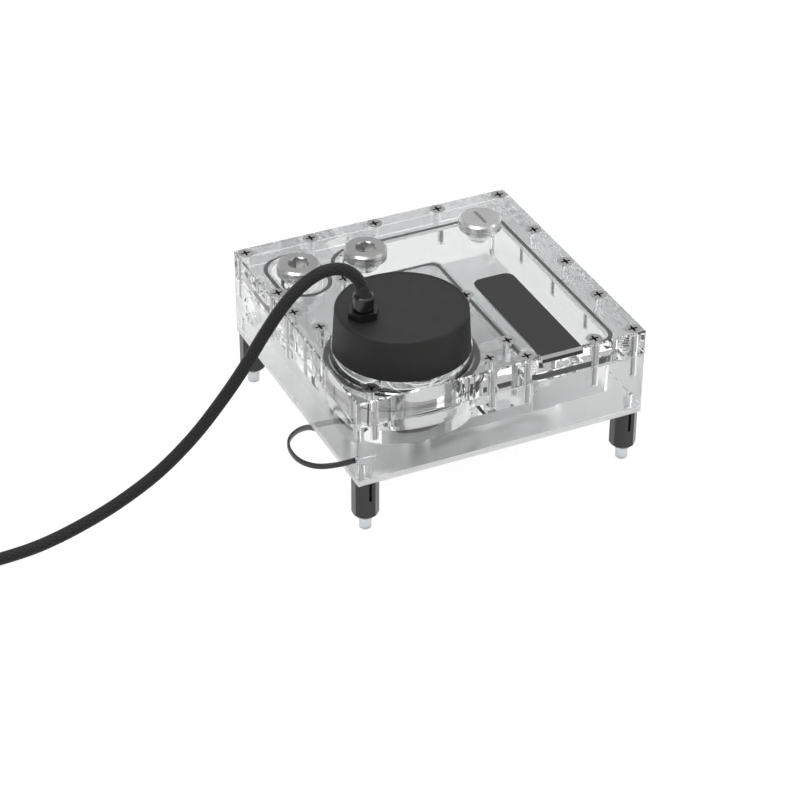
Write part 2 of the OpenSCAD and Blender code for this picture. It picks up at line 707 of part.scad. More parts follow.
module rotor_magnet() {
    color([0.25, 0.25, 0.26]) translate([pump_x, pump_y, z_magnet0]) difference() {
        cylinder(r = rotor_r, h = z_magnet1 - z_magnet0);
        translate([0, 0, -1]) cylinder(r = hub_r, h = reach);
    }
}

module rotor_cap() {
    color([0.12, 0.12, 0.13]) translate([pump_x, pump_y, z_magnet1]) difference() {
        cylinder(r = rotor_r, h = z_hub1 - z_magnet1);
        translate([0, 0, -1]) cylinder(r = bush_r, h = reach);
    }
}

module rotor_bush() {
    z0 = z_imp0 + shroud_t + 0.6;
    color([0.2, 0.2, 0.2]) translate([pump_x, pump_y, 0]) difference() {
        translate([0, 0, z0]) cylinder(r = bush_r, h = z_hub1 - z0);
        translate([0, 0, z0 - 1]) cylinder(d = shaft_d + 2 * shaft_fit, h = reach);
    }
}

// Gland body: hexagon on the cap, neck above it and thread through the cap
module cable_gland() {
    color([0.08, 0.08, 0.08]) translate([gland_x, gland_y, 0]) difference() {
        union() {
            translate([0, 0, z_cap1 - rim_d])
                cylinder(d = gland_af / cos(30), h = gland_base_h + rim_d, $fn = 6);
            translate([0, 0, z_cap1 + gland_base_h]) cylinder(d = gland_nut_d - 2, h = gland_neck_h + 3);
            translate([0, 0, z_cap1 - cap_top_t - locknut_h - 0.6]) cylinder(d = gland_thread_d, h = 8);
        }
        translate([0, 0, z_cap1 - 20]) cylinder(d = gland_bore_d, h = 40);
    }
}

module gland_locknut() {
    color([0.08, 0.08, 0.08]) translate([gland_x, gland_y, z_cap1 - cap_top_t - locknut_h]) difference() {
        cylinder(d = gland_af / cos(30), h = locknut_h, $fn = 6);
        translate([0, 0, -1]) cylinder(d = gland_thread_d, h = locknut_h + 2);
    }
}

module gland_domenut() {
    z0 = z_cap1 + gland_base_h + gland_neck_h - 1.3;
    r = gland_nut_d / 2;
    color([0.08, 0.08, 0.08]) translate([gland_x, gland_y, 0]) difference() {
        rotate_extrude() polygon([[gland_bore_d / 2, z_gland1], [r - 0.9, z_gland1],
            [r - 0.2, z_gland1 - 0.5], [r, z_gland1 - 1], [r, z0 + 0.3], [r - 0.3, z0],
            [gland_bore_d / 2, z0]]);
        translate([0, 0, z0 - 1])
            cylinder(d = gland_nut_d - 2, h = z_cap1 + gland_base_h + gland_neck_h + 3 - z0 + 1);
    }
}

// Screw plug: thread, chamfered head with a seal groove below, and a socket or a slot on top
module screw_plug(slotted) {
    z0 = z_top + head_gap;
    z1 = z0 + plug_head_h;
    r = plug_head_d / 2;
    g0 = plug_groove_r - plug_seal_cord / 2 - 0.1;
    g1 = plug_groove_r + plug_seal_cord / 2 + 0.1;
    thread_r = port_d / 2 - thread_fit;
    difference() {
        rotate_extrude($fn = 64) polygon([
            [0, z_top - plug_thread_l], [thread_r - 0.8, z_top - plug_thread_l],
            [thread_r, z_top - plug_thread_l + 0.8], [thread_r, z0], [g0, z0],
            [g0, z0 + plug_seal_cord - 0.1], [g1, z0 + plug_seal_cord - 0.1], [g1, z0], [r - 0.3, z0],
            [r, z0 + 0.3], [r, z0 + 2], [r - 0.35, z0 + 2.2], [r - 0.35, z0 + 2.7], [r, z0 + 2.9],
            [r, z1 - 0.9], [r - 0.9, z1], [0, z1]]);
        if (slotted) {
            translate([-0.8, -5.6, z1 - 1.6]) cube([1.6, 11.2, 2]);
        } else {
            translate([0, 0, z1 - 4.6]) cylinder(d = socket_af / cos(30), h = 5, $fn = 6);
            translate([0, 0, z1 - 0.6]) cylinder(d1 = socket_af - 0.2, d2 = socket_af + 1.2, h = 0.7);
        }
    }
}

module plug_ring() {
    translate([0, 0, z_top + 0.06 + plug_seal_cord / 2]) rotate_extrude($fn = 64)
        translate([plug_groove_r, 0]) circle(d = plug_seal_cord, $fn = 20);
}

module outlet_plug() { color([0.72, 0.71, 0.69]) translate(outlet_plug_xy) rotate(20) screw_plug(false); }
module return_plug() { color([0.72, 0.71, 0.69]) translate(return_plug_xy) rotate(10) screw_plug(false); }
module fill_plug() { color([0.76, 0.75, 0.73]) translate(fill_plug_xy) screw_plug(true); }
module outlet_plug_seal() { color([0.05, 0.05, 0.05]) translate(outlet_plug_xy) plug_ring(); }
module return_plug_seal() { color([0.05, 0.05, 0.05]) translate(return_plug_xy) plug_ring(); }
module fill_plug_seal() { color([0.05, 0.05, 0.05]) translate(fill_plug_xy) plug_ring(); }

// Eight-sided sleeve with a long slit on one side and a notched, tapered lower end
module foot_sleeve() {
    r = sleeve_af / 2;
    color([0.1, 0.1, 0.1]) difference() {
        intersection() {
            translate([0, 0, tip_l]) rotate(22.5) cylinder(r = r / cos(22.5), h = sleeve_l, $fn = 8);
            translate([0, 0, tip_l])
                cylinder(r1 = r - crown_h + 0.7, r2 = r - crown_h + 0.7 + sleeve_l, h = sleeve_l);
        }
        translate([0, 0, tip_l - 1]) cylinder(d = pin_d + 2 * snug, h = sleeve_l + 2);
        translate([0, 0, tip_l - tiny]) cylinder(d = tip_collar_d + 2 * snug, h = 1.6);
        translate([-slit_w / 2, -r - 1, z_bottom - slit_l]) cube([slit_w, r, slit_l + 1]);
        for (a = [0:45:315]) rotate(a) translate([0, 0, tip_l]) rotate([0, 90, 0])
            cylinder(d = crown_notch, h = r + 2, $fn = 16);
    }
}

// Pin with a tapered tip: it carries the block and holds the sleeve
module foot_pin() {
    color([0.86, 0.87, 0.88]) {
        translate([0, 0, tip_l]) cylinder(d = tip_collar_d, h = 1.5);
        rotate_extrude() polygon([[0, 0], [tip_d / 2 - 0.9, 0], [tip_d / 2, 0.9], [tip_d / 2, tip_l - 2.4],
            [tip_collar_d / 2, tip_l - 0.4], [tip_collar_d / 2, tip_l], [0, tip_l]]);
        translate([0, 0, tip_l]) cylinder(d = pin_d, h = sleeve_l + pin_grip);
    }
}

module foot_front_left() { translate(foot_xy[0]) foot_sleeve(); }
module foot_back_left() { translate(foot_xy[1]) foot_sleeve(); }
module foot_front_right() { translate(foot_xy[2]) foot_sleeve(); }
module foot_back_right() { translate(foot_xy[3]) foot_sleeve(); }
module pin_front_left() { translate(foot_xy[0]) foot_pin(); }
module pin_back_left() { translate(foot_xy[1]) foot_pin(); }
module pin_front_right() { translate(foot_xy[2]) foot_pin(); }
module pin_back_right() { translate(foot_xy[3]) foot_pin(); }

// Light with a domed lens, pushed into its bore
module light_module() {
    r = light_bore_d / 2 - snug;
    color([0.85, 0.87, 0.9]) translate([edge0, edge0 + light_y, z_bottom + light_z]) rotate([0, 90, 0])
        rotate_extrude() polygon(concat([[0, 0], [r, 0]],
            [for (a = [0:15:90]) [r * cos(a), light_depth - r - 0.1 + r * sin(a)]]));
}

// Sweeping of the leads: a spline through the route's points
function spline(p, i, t) =
    let (n = len(p) - 1, a = p[max(i - 1, 0)], b = p[i], c = p[min(i + 1, n)], d = p[min(i + 2, n)])
    0.5 * (2 * b + (c - a) * t + (2 * a - 5 * b + 4 * c - d) * t * t + (3 * b - a - 3 * c + d) * t * t * t);
function unit(v) = v / norm(v);
function xyz(v) = [v[0], v[1], v[2]];
function roll_of(v) = len(v) > 3 ? v[3] : 0;
function ring_points(p, steps) =
    concat([for (i = [0:len(p) - 2], k = [0:steps - 1]) spline(p, i, k / steps)], [p[len(p) - 1]]);

// Tube along a route, with half width a and half thickness b; ref is a direction it never follows
module tube(route, a, b, sides, ref, steps) {
    rings = ring_points(route, steps);
    n = len(rings);
    verts = [for (i = [0:n - 1])
        let (t = unit(xyz(rings[min(i + 1, n - 1)]) - xyz(rings[max(i - 1, 0)])),
             u = unit(cross(t, ref)), w = cross(u, t), g = roll_of(rings[i]),
             wide = w * cos(g) + u * sin(g), thin = u * cos(g) - w * sin(g))
        for (k = [0:sides - 1])
            xyz(rings[i]) + a * cos(360 * k / sides) * wide + b * sin(360 * k / sides) * thin];
    walls = [for (i = [0:n - 2], k = [0:sides - 1])
        let (k1 = (k + 1) % sides, j = i + 1)
        [i * sides + k, i * sides + k1, j * sides + k1, j * sides + k]];
    polyhedron(points = verts, faces = concat([[for (k = [sides - 1:-1:0]) k]], walls,
        [[for (k = [0:sides - 1]) (n - 1) * sides + k]]), convexity = 6);
}

module pump_lead() {
    color([0.07, 0.07, 0.07]) tube(pump_route, lead_d / 2, lead_d / 2, 12, [0, 1, 0], 2);
}

// Ring that the wound turns of a lead fill, between the inner and outer lanes
module coil_ring(c, r, lane, w, h) {
    translate([c[0], c[1], 0]) rotate_extrude($fn = 64)
        translate([r - lane - w / 2, 0]) square([2 * lane + w, h]);
}

module pump_lead_coil() {
    color([0.07, 0.07, 0.07]) coil_ring(pump_coil_c, pump_coil_r, pump_coil_lane, lead_d, lead_d);
}

// Half turn inside the coil, which brings the lead's end to the plug
tail_r = 13.6;
tail_y = pump_coil_c[1] + pump_coil_r - pump_coil_lane;
pump_tail_route = concat([[pump_coil_c[0] - 3, tail_y, lead_d / 2 + 0.05]],
    [for (a = [90:-30:-90]) [pump_coil_c[0] + 1 + tail_r * cos(a), tail_y - tail_r + tail_r * sin(a),
        lead_d / 2 + 0.05]]);
plug_back = pump_coil_c[0] + 1;
plug_mid = tail_y - 2 * tail_r;
plug_w = 18;
plug_l = 17;
plug_h = 8;
module pump_lead_tail() {
    color([0.07, 0.07, 0.07]) tube(pump_tail_route, lead_d / 2, lead_d / 2, 12, [0, 0, 1], 1);
}

// Four-way power plug with its keyed nose and four sleeves
module power_plug() {
    color([0.9, 0.89, 0.85]) translate([plug_back - plug_l, plug_mid, 0]) difference() {
        union() {
            translate([0, -plug_w / 2, 0]) cube([plug_l - 3, plug_w, plug_h]);
            translate([plug_l - 5, -4.6, 0]) cube([5, 9.2, plug_h]);
        }
        for (i = [-1.5:1:1.5]) translate([-1, 4.2 * i, plug_h / 2]) rotate([0, 90, 0])
            cylinder(d = 3, h = 10);
        for (j = [-1, 1]) translate([0, j * plug_w / 2, plug_h]) rotate([0, 90, 0])
            translate([0, 0, -1]) cylinder(r = 2, h = plug_l + 2, $fn = 4);
    }
}

module power_contacts() {
    color([0.8, 0.7, 0.4]) translate([plug_back - plug_l, plug_mid, plug_h / 2]) for (i = [-1.5:1:1.5])
        translate([0.8, 4.2 * i, 0]) rotate([0, 90, 0]) difference() {
            cylinder(d = 3, h = 8);
            translate([0, 0, -1]) cylinder(d = 2.1, h = 7);
        }
}

module light_lead() {
    color([0.05, 0.05, 0.05]) tube(light_route, light_w / 2, light_t / 2, 8, [0, 0, 1], 2);
}

module light_lead_coil() {
    color([0.05, 0.05, 0.05]) coil_ring(light_coil_c, light_coil_r, light_coil_lane, light_w, light_t);
}

light_tail_x = light_coil_c[0];
light_tail_y = light_coil_c[1] + light_coil_r - light_coil_lane;
light_tail_r = 5.6;
light_tail_route = concat([[light_tail_x - 2, light_tail_y, 0.9, 90]],
    [for (a = [90:-30:-90]) [light_tail_x + light_tail_r * cos(a),
        light_tail_y - light_tail_r + light_tail_r * sin(a), 0.9 + 1.8 * min(1, (90 - a) / 140), 90]]);
light_plug_l = 14;
light_plug_w = 7.8;
light_plug_h = 2.7;
light_plug_p = [light_tail_x - light_plug_l, light_tail_y - 2 * light_tail_r, light_t + 0.02];
module light_lead_tail() {
    color([0.05, 0.05, 0.05]) tube(light_tail_route, light_w / 2, light_t / 2, 8, [0, 0, 1], 1);
}

module light_plug() {
    color([0.05, 0.05, 0.05]) translate(light_plug_p)
        difference() {
            translate([0, -light_plug_w / 2, 0]) cube([light_plug_l, light_plug_w, light_plug_h]);
            for (i = [-1, 0, 1]) translate([-1, 2.54 * i - 0.5, light_plug_h / 2 - 0.5]) cube([8, 1, 1]);
        }
}

module light_contacts() {
    color([0.8, 0.7, 0.4]) translate(light_plug_p)
        for (i = [-1, 0, 1]) translate([0.5, 2.54 * i - 0.5, light_plug_h / 2 - 0.5]) difference() {
            cube([6.5, 1, 1]);
            translate([-1, 0.2, 0.2]) cube([6, 0.6, 0.6]);
        }
}

cover_plate();
base_block();
sole_plate();
trim_bar();
chamber_seal();
outlet_seal();
cover_screws();
pump_screws();
motor_shell();
pump_seal();
separation_can();
bearing_shaft();
stator_core();
stator_coils();
driver_board();
board_parts();
inner_leads();
pump_cap();
impeller();
rotor_magnet();
rotor_bush();
rotor_cap();
cable_gland();
gland_locknut();
gland_domenut();
outlet_plug();
outlet_plug_seal();
return_plug();
return_plug_seal();
fill_plug();
fill_plug_seal();
foot_front_left();
foot_front_right();
foot_back_left();
foot_back_right();
pin_front_left();
pin_front_right();
pin_back_left();
pin_back_right();
light_module();
pump_lead();
pump_lead_coil();
pump_lead_tail();
power_plug();
power_contacts();
light_lead();
light_lead_coil();
light_lead_tail();
light_plug();
light_contacts();
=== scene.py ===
"""Looks of a coolant pump reservoir: clear block, sunk pump, plugs, pin feet and two leads."""

import json
import logging
import math
from dataclasses import dataclass, field
from enum import Enum
from typing import Dict, List, Optional, Sequence, Tuple

import bmesh
import bpy
from mathutils import Matrix, Vector

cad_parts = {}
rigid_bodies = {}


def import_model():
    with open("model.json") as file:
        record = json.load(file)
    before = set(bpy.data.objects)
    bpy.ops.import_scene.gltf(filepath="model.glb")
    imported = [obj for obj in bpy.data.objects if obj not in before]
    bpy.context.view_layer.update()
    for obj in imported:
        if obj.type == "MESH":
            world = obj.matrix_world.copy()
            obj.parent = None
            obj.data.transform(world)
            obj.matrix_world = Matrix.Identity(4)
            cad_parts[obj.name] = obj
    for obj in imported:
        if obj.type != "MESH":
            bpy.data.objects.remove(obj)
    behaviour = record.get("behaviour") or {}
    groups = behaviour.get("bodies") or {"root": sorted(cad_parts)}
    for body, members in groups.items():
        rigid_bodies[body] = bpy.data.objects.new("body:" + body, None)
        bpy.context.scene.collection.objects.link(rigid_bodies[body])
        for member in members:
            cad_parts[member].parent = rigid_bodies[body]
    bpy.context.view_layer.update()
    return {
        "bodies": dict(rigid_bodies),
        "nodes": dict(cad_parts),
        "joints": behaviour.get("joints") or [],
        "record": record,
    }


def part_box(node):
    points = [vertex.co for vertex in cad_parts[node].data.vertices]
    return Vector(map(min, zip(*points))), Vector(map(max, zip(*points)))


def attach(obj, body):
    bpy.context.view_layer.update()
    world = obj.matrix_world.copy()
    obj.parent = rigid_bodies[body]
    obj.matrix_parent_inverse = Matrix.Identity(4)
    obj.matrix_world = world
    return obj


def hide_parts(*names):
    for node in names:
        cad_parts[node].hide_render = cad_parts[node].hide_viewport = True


LOG = logging.getLogger("coolant_pump_reservoir")
MM = 0.001
THREAD_DEPTH = 0.0006
THREAD_REACH = 0.00012
LEVEL_REACH = 0.00004
Point = Tuple[float, float, float]
Colour = Tuple[float, float, float]


class Body(str, Enum):
    """The bodies that a piece can ride on."""

    BLOCK = "reservoir"
    ROTOR = "rotor"
    OUTLET_CAP = "outlet_cap"
    RETURN_CAP = "return_cap"
    FILL_CAP = "fill_cap"


class Axis(Enum):
    """The direction along which a turned or machined surface is grooved."""

    X = 0
    Y = 1
    Z = 2


@dataclass(frozen=True)
class ThreadedBore:
    """A threaded cylinder: its axis, a point on it, its radius, its ends and its pitch, in metres."""

    axis: Axis
    middle: Point
    low: float
    high: float
    radius: float = 0.00658
    pitch: float = 0.001337


def mm(point: Sequence[float]) -> Vector:
    """Turns a point in millimetres into a vector in metres."""
    return Vector(point) * MM


class Nodes:
    """Builds the node tree of one material.

    Args:
        name: the material's name.
    """

    def __init__(self, name: str) -> None:
        """Starts a material with only an output node."""
        self.material = bpy.data.materials.new(name)
        self.material.use_nodes = True
        self.tree = self.material.node_tree
        self.tree.nodes.clear()
        self.output = self.tree.nodes.new("ShaderNodeOutputMaterial")

    def add(self, kind: str, **values: object) -> bpy.types.Node:
        """Adds a node.

        Args:
            kind: the node's type without the leading "ShaderNode".
            values: sockets by name with underscores for spaces, or node properties.

        Returns:
            The new node.
        """
        node = self.tree.nodes.new("ShaderNode" + kind)
        for key, value in values.items():
            if hasattr(node, key):
                setattr(node, key, value)
            else:
                node.inputs[key.replace("_", " ")].default_value = value
        return node

    def link(self, source: bpy.types.NodeSocket, target: bpy.types.NodeSocket) -> None:
        """Links two sockets."""
        self.tree.links.new(source, target)

    def math(self, operation: str, a: object, b: object = 0.0, c: object = 0.0) -> bpy.types.NodeSocket:
        """Adds a Math node.

        Args:
            operation: Blender's name of the operation.
            a: a socket or a number.
            b: a socket or a number.
            c: a socket or a number.

        Returns:
            The node's output socket.
        """
        node = self.tree.nodes.new("ShaderNodeMath")
        node.operation = operation
        for i, v in enumerate((a, b, c)):
            if isinstance(v, bpy.types.NodeSocket):
                self.link(v, node.inputs[i])
            else:
                node.inputs[i].default_value = float(v)
        return node.outputs[0]

    def place(self) -> bpy.types.NodeSocket:
        """Returns the coordinates of the row frame, in metres."""
        return self.add("TexCoord").outputs["Object"]

    def noise(self, scale: float, detail: float = 3.0, stretch: Optional[Point] = None) -> bpy.types.NodeSocket:
        """Adds a noise in the row frame.

        Args:
            scale: cells per metre.
            detail: octaves.
            stretch: scaling of the coordinates along each axis.

        Returns:
            The noise's value socket.
        """
        node = self.add("TexNoise", Scale=scale, Detail=detail)
        if stretch is None:
            self.link(self.place(), node.inputs["Vector"])
        else:
            mapping = self.add("Mapping")
            mapping.inputs["Scale"].default_value = stretch
            self.link(self.place(), mapping.inputs["Vector"])
            self.link(mapping.outputs["Vector"], node.inputs["Vector"])
        return node.outputs["Fac"]

    def between(self, factor: bpy.types.NodeSocket, low: float, high: float) -> bpy.types.NodeSocket:
        """Maps a factor from 0..1 to low..high."""
        node = self.add("MapRange")
        node.inputs["To Min"].default_value = low
        node.inputs["To Max"].default_value = high
        self.link(factor, node.inputs["Value"])
        return node.outputs["Result"]

    def blend(self, factor: bpy.types.NodeSocket, a: Colour, b: Colour) -> bpy.types.NodeSocket:
        """Mixes two colours by a factor."""
        node = self.add("Mix", data_type="RGBA")
        node.inputs[6].default_value = (*a, 1.0)
        node.inputs[7].default_value = (*b, 1.0)
        self.link(factor, node.inputs[0])
        return node.outputs[2]

    def bump(self, height: bpy.types.NodeSocket, distance: float, strength: float = 1.0,
             onto: Optional[bpy.types.NodeSocket] = None) -> bpy.types.NodeSocket:
        """Adds a bump of a height in metres and returns its normal."""
        node = self.add("Bump", Distance=distance, Strength=strength)
        self.link(height, node.inputs["Height"])
        if onto is not None:
            self.link(onto, node.inputs["Normal"])
        return node.outputs["Normal"]

    def both(self, a: bpy.types.NodeSocket, b: bpy.types.NodeSocket) -> bpy.types.NodeSocket:
        """Multiplies two masks."""
        return self.math("MULTIPLY", a, b)

    def inside(self, value: bpy.types.NodeSocket, low: float, high: float) -> bpy.types.NodeSocket:
        """Makes a mask that is 1 where a value lies between two limits."""
        return self.both(self.math("GREATER_THAN", value, low), self.math("LESS_THAN", value, high))

    def thread(self, bore: ThreadedBore) -> bpy.types.NodeSocket:
        """Makes the relief of a screw thread.

        Args:
            bore: where the thread is and how it is cut.

        Returns:
            The height from 0 to 1, and 0 away from the threaded surface.
        """
        split = self.add("SeparateXYZ")
        self.link(self.place(), split.inputs[0])
        run, first, second = {Axis.X: (0, 1, 2), Axis.Y: (1, 2, 0), Axis.Z: (2, 0, 1)}[bore.axis]
        a = self.math("SUBTRACT", split.outputs[first], bore.middle[first])
        b = self.math("SUBTRACT", split.outputs[second], bore.middle[second])
        radius = self.math("SQRT", self.math("ADD", self.math("MULTIPLY", a, a), self.math("MULTIPLY", b, b)))
        turn = self.math("DIVIDE", self.math("ARCTAN2", b, a), 2 * math.pi)
        steps = self.math("ADD", self.math("DIVIDE", split.outputs[run], bore.pitch), turn)
        height = self.math("PINGPONG", steps, 0.5)
        near = self.inside(radius, bore.radius - THREAD_REACH, bore.radius + THREAD_REACH)
        mask = self.both(near, self.inside(split.outputs[run], bore.low, bore.high))
        return self.both(self.math("MULTIPLY", height, 2.0), mask)

    def principled(self, colour: Colour, roughness: float, metallic: float = 0.0) -> bpy.types.Node:
        """Adds the surface shader and links it to the output."""
        node = self.add("BsdfPrincipled", Roughness=roughness, Metallic=metallic)
        node.inputs["Base Color"].default_value = (*colour, 1.0)
        self.link(node.outputs["BSDF"], self.output.inputs["Surface"])
        return node


@dataclass(frozen=True)
class ClearAcrylic:
    """Polished cast acrylic, matt at the levels that a cutter or a bond has left.

    Each entry of matt_levels is a height in metres and the roughness there.
    """

    name: str
    tint: Colour = (0.895, 0.9, 0.9)
    ior: float = 1.49
    matt_levels: Tuple[Tuple[float, float], ...] = ()
    bores: Tuple[ThreadedBore, ...] = ()

    def build(self) -> bpy.types.Material:
        """Makes the material."""
        n = Nodes(self.name)
        shader = n.principled(self.tint, 0.0)
        shader.inputs["IOR"].default_value = self.ior
        shader.inputs["Transmission Weight"].default_value = 1.0
        if self.matt_levels:
            split = n.add("SeparateXYZ")
            n.link(n.place(), split.inputs[0])
            rough: Optional[bpy.types.NodeSocket] = None
            for level, roughness in self.matt_levels:
                away = n.math("ABSOLUTE", n.math("SUBTRACT", split.outputs["Z"], level))
                here = n.math("MULTIPLY", n.math("LESS_THAN", away, LEVEL_REACH), roughness)
                rough = here if rough is None else n.math("MAXIMUM", rough, here)
            n.link(n.both(rough, n.between(n.noise(900.0, 2.0), 0.85, 1.15)), shader.inputs["Roughness"])
        relief: Optional[bpy.types.NodeSocket] = None
        for bore in self.bores:
            height = n.thread(bore)
            relief = height if relief is None else n.math("MAXIMUM", relief, height)
        if relief is not None:
            n.link(n.bump(relief, THREAD_DEPTH), shader.inputs["Normal"])
        # Lamps shine through the clear walls
        path = n.add("LightPath")
        clear = n.add("BsdfTransparent")
        clear.inputs["Color"].default_value = (0.97, 0.975, 0.98, 1.0)
        mix = n.add("MixShader")
        n.link(path.outputs["Is Shadow Ray"], mix.inputs[0])
        n.link(shader.outputs["BSDF"], mix.inputs[1])
        n.link(clear.outputs["BSDF"], mix.inputs[2])
        n.link(mix.outputs[0], n.output.inputs["Surface"])
        return n.material


@dataclass(frozen=True)
class Moulded:
    """Moulded plastic or rubber with a fine grain and slight changes of sheen."""

    name: str
    colour: Colour
    roughness: float = 0.5
    grain_per_m: float = 4200.0
    grain_depth: float = 0.000012
    specular: float = 0.5

    def build(self) -> bpy.types.Material:
        """Makes the material."""
        n = Nodes(self.name)
        shader = n.principled(self.colour, self.roughness)
        shader.inputs["Specular IOR Level"].default_value = self.specular
        dark = tuple(c * 0.86 for c in self.colour)
        light = tuple(min(1.0, c * 1.12 + 0.001) for c in self.colour)
        n.link(n.blend(n.noise(90.0, 4.0), dark, light), shader.inputs["Base Color"])
        n.link(n.between(n.noise(160.0, 3.0), self.roughness * 0.88, min(1.0, self.roughness * 1.12)),
               shader.inputs["Roughness"])
        n.link(n.bump(n.noise(self.grain_per_m, 2.0), self.grain_depth), shader.inputs["Normal"])
        return n.material


@dataclass(frozen=True)
class Metal:
    """Bare or plated metal with fine turning or drawing lines along one axis."""

    name: str
    colour: Colour
    roughness: float = 0.25
    lines_axis: Axis = Axis.Z
    lines_per_m: float = 5200.0
    lines_depth: float = 0.000004
    wear: float = 0.12
    bores: Tuple[ThreadedBore, ...] = ()
    painted_shade_between: Tuple[float, float] = (0.0, 0.0)
    painted_shade_colour: Colour = (0.05, 0.05, 0.05)

    def build(self) -> bpy.types.Material:
        """Makes the material."""
        n = Nodes(self.name)
        shader = n.principled(self.colour, self.roughness, 1.0)
        stretch = [0.02, 0.02, 0.02]
        stretch[self.lines_axis.value] = 1.0
        lines = n.noise(self.lines_per_m, 2.0, tuple(stretch))
        clouds = n.noise(120.0, 4.0)
        dull = tuple(c * (1.0 - self.wear) for c in self.colour)
        colour = n.blend(clouds, dull, self.colour)
        # Heights between the two limits, on faces not turned down, are painted dark: painted shade in the screw
        # heads' recesses.
        if self.painted_shade_between[1] > self.painted_shade_between[0]:
            split = n.add("SeparateXYZ")
            n.link(n.place(), split.inputs[0])
            facing = n.add("SeparateXYZ")
            n.link(n.add("NewGeometry").outputs["Normal"], facing.inputs[0])
            upright = n.math("GREATER_THAN", facing.outputs["Z"], -0.3)
            mix = n.add("Mix", data_type="RGBA")
            n.link(n.both(n.inside(split.outputs["Z"], *self.painted_shade_between), upright), mix.inputs[0])
            n.link(colour, mix.inputs[6])
            mix.inputs[7].default_value = (*self.painted_shade_colour, 1.0)
            colour = mix.outputs[2]
        n.link(colour, shader.inputs["Base Color"])
        n.link(n.between(clouds, self.roughness * 0.8, self.roughness * 1.25), shader.inputs["Roughness"])
        normal = n.bump(lines, self.lines_depth)
        for bore in self.bores:
            normal = n.bump(n.thread(bore), THREAD_DEPTH, 1.0, normal)
        n.link(normal, shader.inputs["Normal"])
        return n.material


@dataclass(frozen=True)
class BlackStrip:
    """Black anodised strip; its front bevel, where it faces front and up, is painted a light metallic grey: a painted
    highlight.
    """

    name: str
    colour: Colour = (0.016, 0.016, 0.0155)
    bevel_highlight: Colour = (0.36, 0.36, 0.36)

    def build(self) -> bpy.types.Material:
        """Makes the material."""
        n = Nodes(self.name)
        shader = n.principled(self.colour, 0.4)
        shader.inputs["Specular IOR Level"].default_value = 0.3
        split = n.add("SeparateXYZ")
        n.link(n.add("NewGeometry").outputs["Normal"], split.inputs[0])
        # Faces turned to the front and up get a lighter metallic colour: a painted highlight on the bevel.
        bevel = n.both(n.math("LESS_THAN", split.outputs["Y"], -0.4), n.math("GREATER_THAN", split.outputs["Z"], 0.4))
        n.link(bevel, shader.inputs["Metallic"])
        mix = n.add("Mix", data_type="RGBA")
        n.link(bevel, mix.inputs[0])
        n.link(n.blend(n.noise(60.0, 4.0), tuple(c * 0.9 for c in self.colour), tuple(c * 1.12 for c in self.colour)),
               mix.inputs[6])
        mix.inputs[7].default_value = (*self.bevel_highlight, 1.0)
        n.link(mix.outputs[2], shader.inputs["Base Color"])
        n.link(n.between(n.noise(300.0, 3.0), 0.34, 0.46), shader.inputs["Roughness"])
        n.link(n.bump(n.noise(5200.0, 2.0, (1.0, 0.02, 1.0)), 0.000003), shader.inputs["Normal"])
        return n.material


@dataclass(frozen=True)
class Braid:
    """Woven sleeve of a lead: two sets of strands that cross over and under each other."""

    name: str
    colour: Colour = (0.003, 0.003, 0.0031)
    strands: int = 10
    pitch: float = 0.009
    depth: float = 0.0003

    def build(self) -> bpy.types.Material:
        """Makes the material, which reads the sleeve's own UV: round it, and along it in metres."""
        n = Nodes(self.name)
        shader = n.principled(self.colour, 0.62)
        shader.inputs["Specular IOR Level"].default_value = 0.25
        shader.inputs["Sheen Weight"].default_value = 0.06
        shader.inputs["Sheen Roughness"].default_value = 0.45
        uv = n.add("UVMap", uv_map="LeadUV")
        split = n.add("SeparateXYZ")
        n.link(uv.outputs["UV"], split.inputs[0])
        around = n.math("MULTIPLY", split.outputs["X"], float(self.strands))
        along = n.math("DIVIDE", split.outputs["Y"], self.pitch / self.strands * 2)
        rise = n.math("ADD", around, n.math("MULTIPLY", along, 0.5))
        fall = n.math("SUBTRACT", around, n.math("MULTIPLY", along, 0.5))
        one = n.math("ABSOLUTE", n.math("SINE", n.math("MULTIPLY", rise, math.pi)))
        two = n.math("ABSOLUTE", n.math("SINE", n.math("MULTIPLY", fall, math.pi)))
        over = n.math("MULTIPLY", n.math("SINE", n.math("MULTIPLY", n.math("ADD", rise, fall), math.pi)),
                      n.math("SINE", n.math("MULTIPLY", n.math("SUBTRACT", rise, fall), math.pi)))
        side = n.math("GREATER_THAN", over, 0.0)
        weave = n.math("ADD", n.math("MULTIPLY", one, side),
                       n.math("MULTIPLY", two, n.math("SUBTRACT", 1.0, side)))
        # Strands are painted lighter where the weave stands highest: a painted highlight on the crowns.
        light = tuple(c * 3.0 + 0.004 for c in self.colour)
        n.link(n.blend(n.math("POWER", weave, 2.0), self.colour, light), shader.inputs["Base Color"])
        n.link(n.bump(weave, self.depth), shader.inputs["Normal"])
        return n.material


@dataclass(frozen=True)
class Nylon:
    """Natural nylon or a clear lens, which lets a little light through."""

    name: str
    colour: Colour = (0.86, 0.88, 0.9)
    roughness: float = 0.3
    through: float = 0.55

    def build(self) -> bpy.types.Material:
        """Makes the material."""
        n = Nodes(self.name)
        shader = n.principled(self.colour, self.roughness)
        shader.inputs["Transmission Weight"].default_value = self.through
        shader.inputs["IOR"].default_value = 1.45
        n.link(n.between(n.noise(240.0, 3.0), self.roughness * 0.8, self.roughness * 1.3), shader.inputs["Roughness"])
        n.link(n.bump(n.noise(1800.0, 2.0), 0.00001), shader.inputs["Normal"])
        return n.material


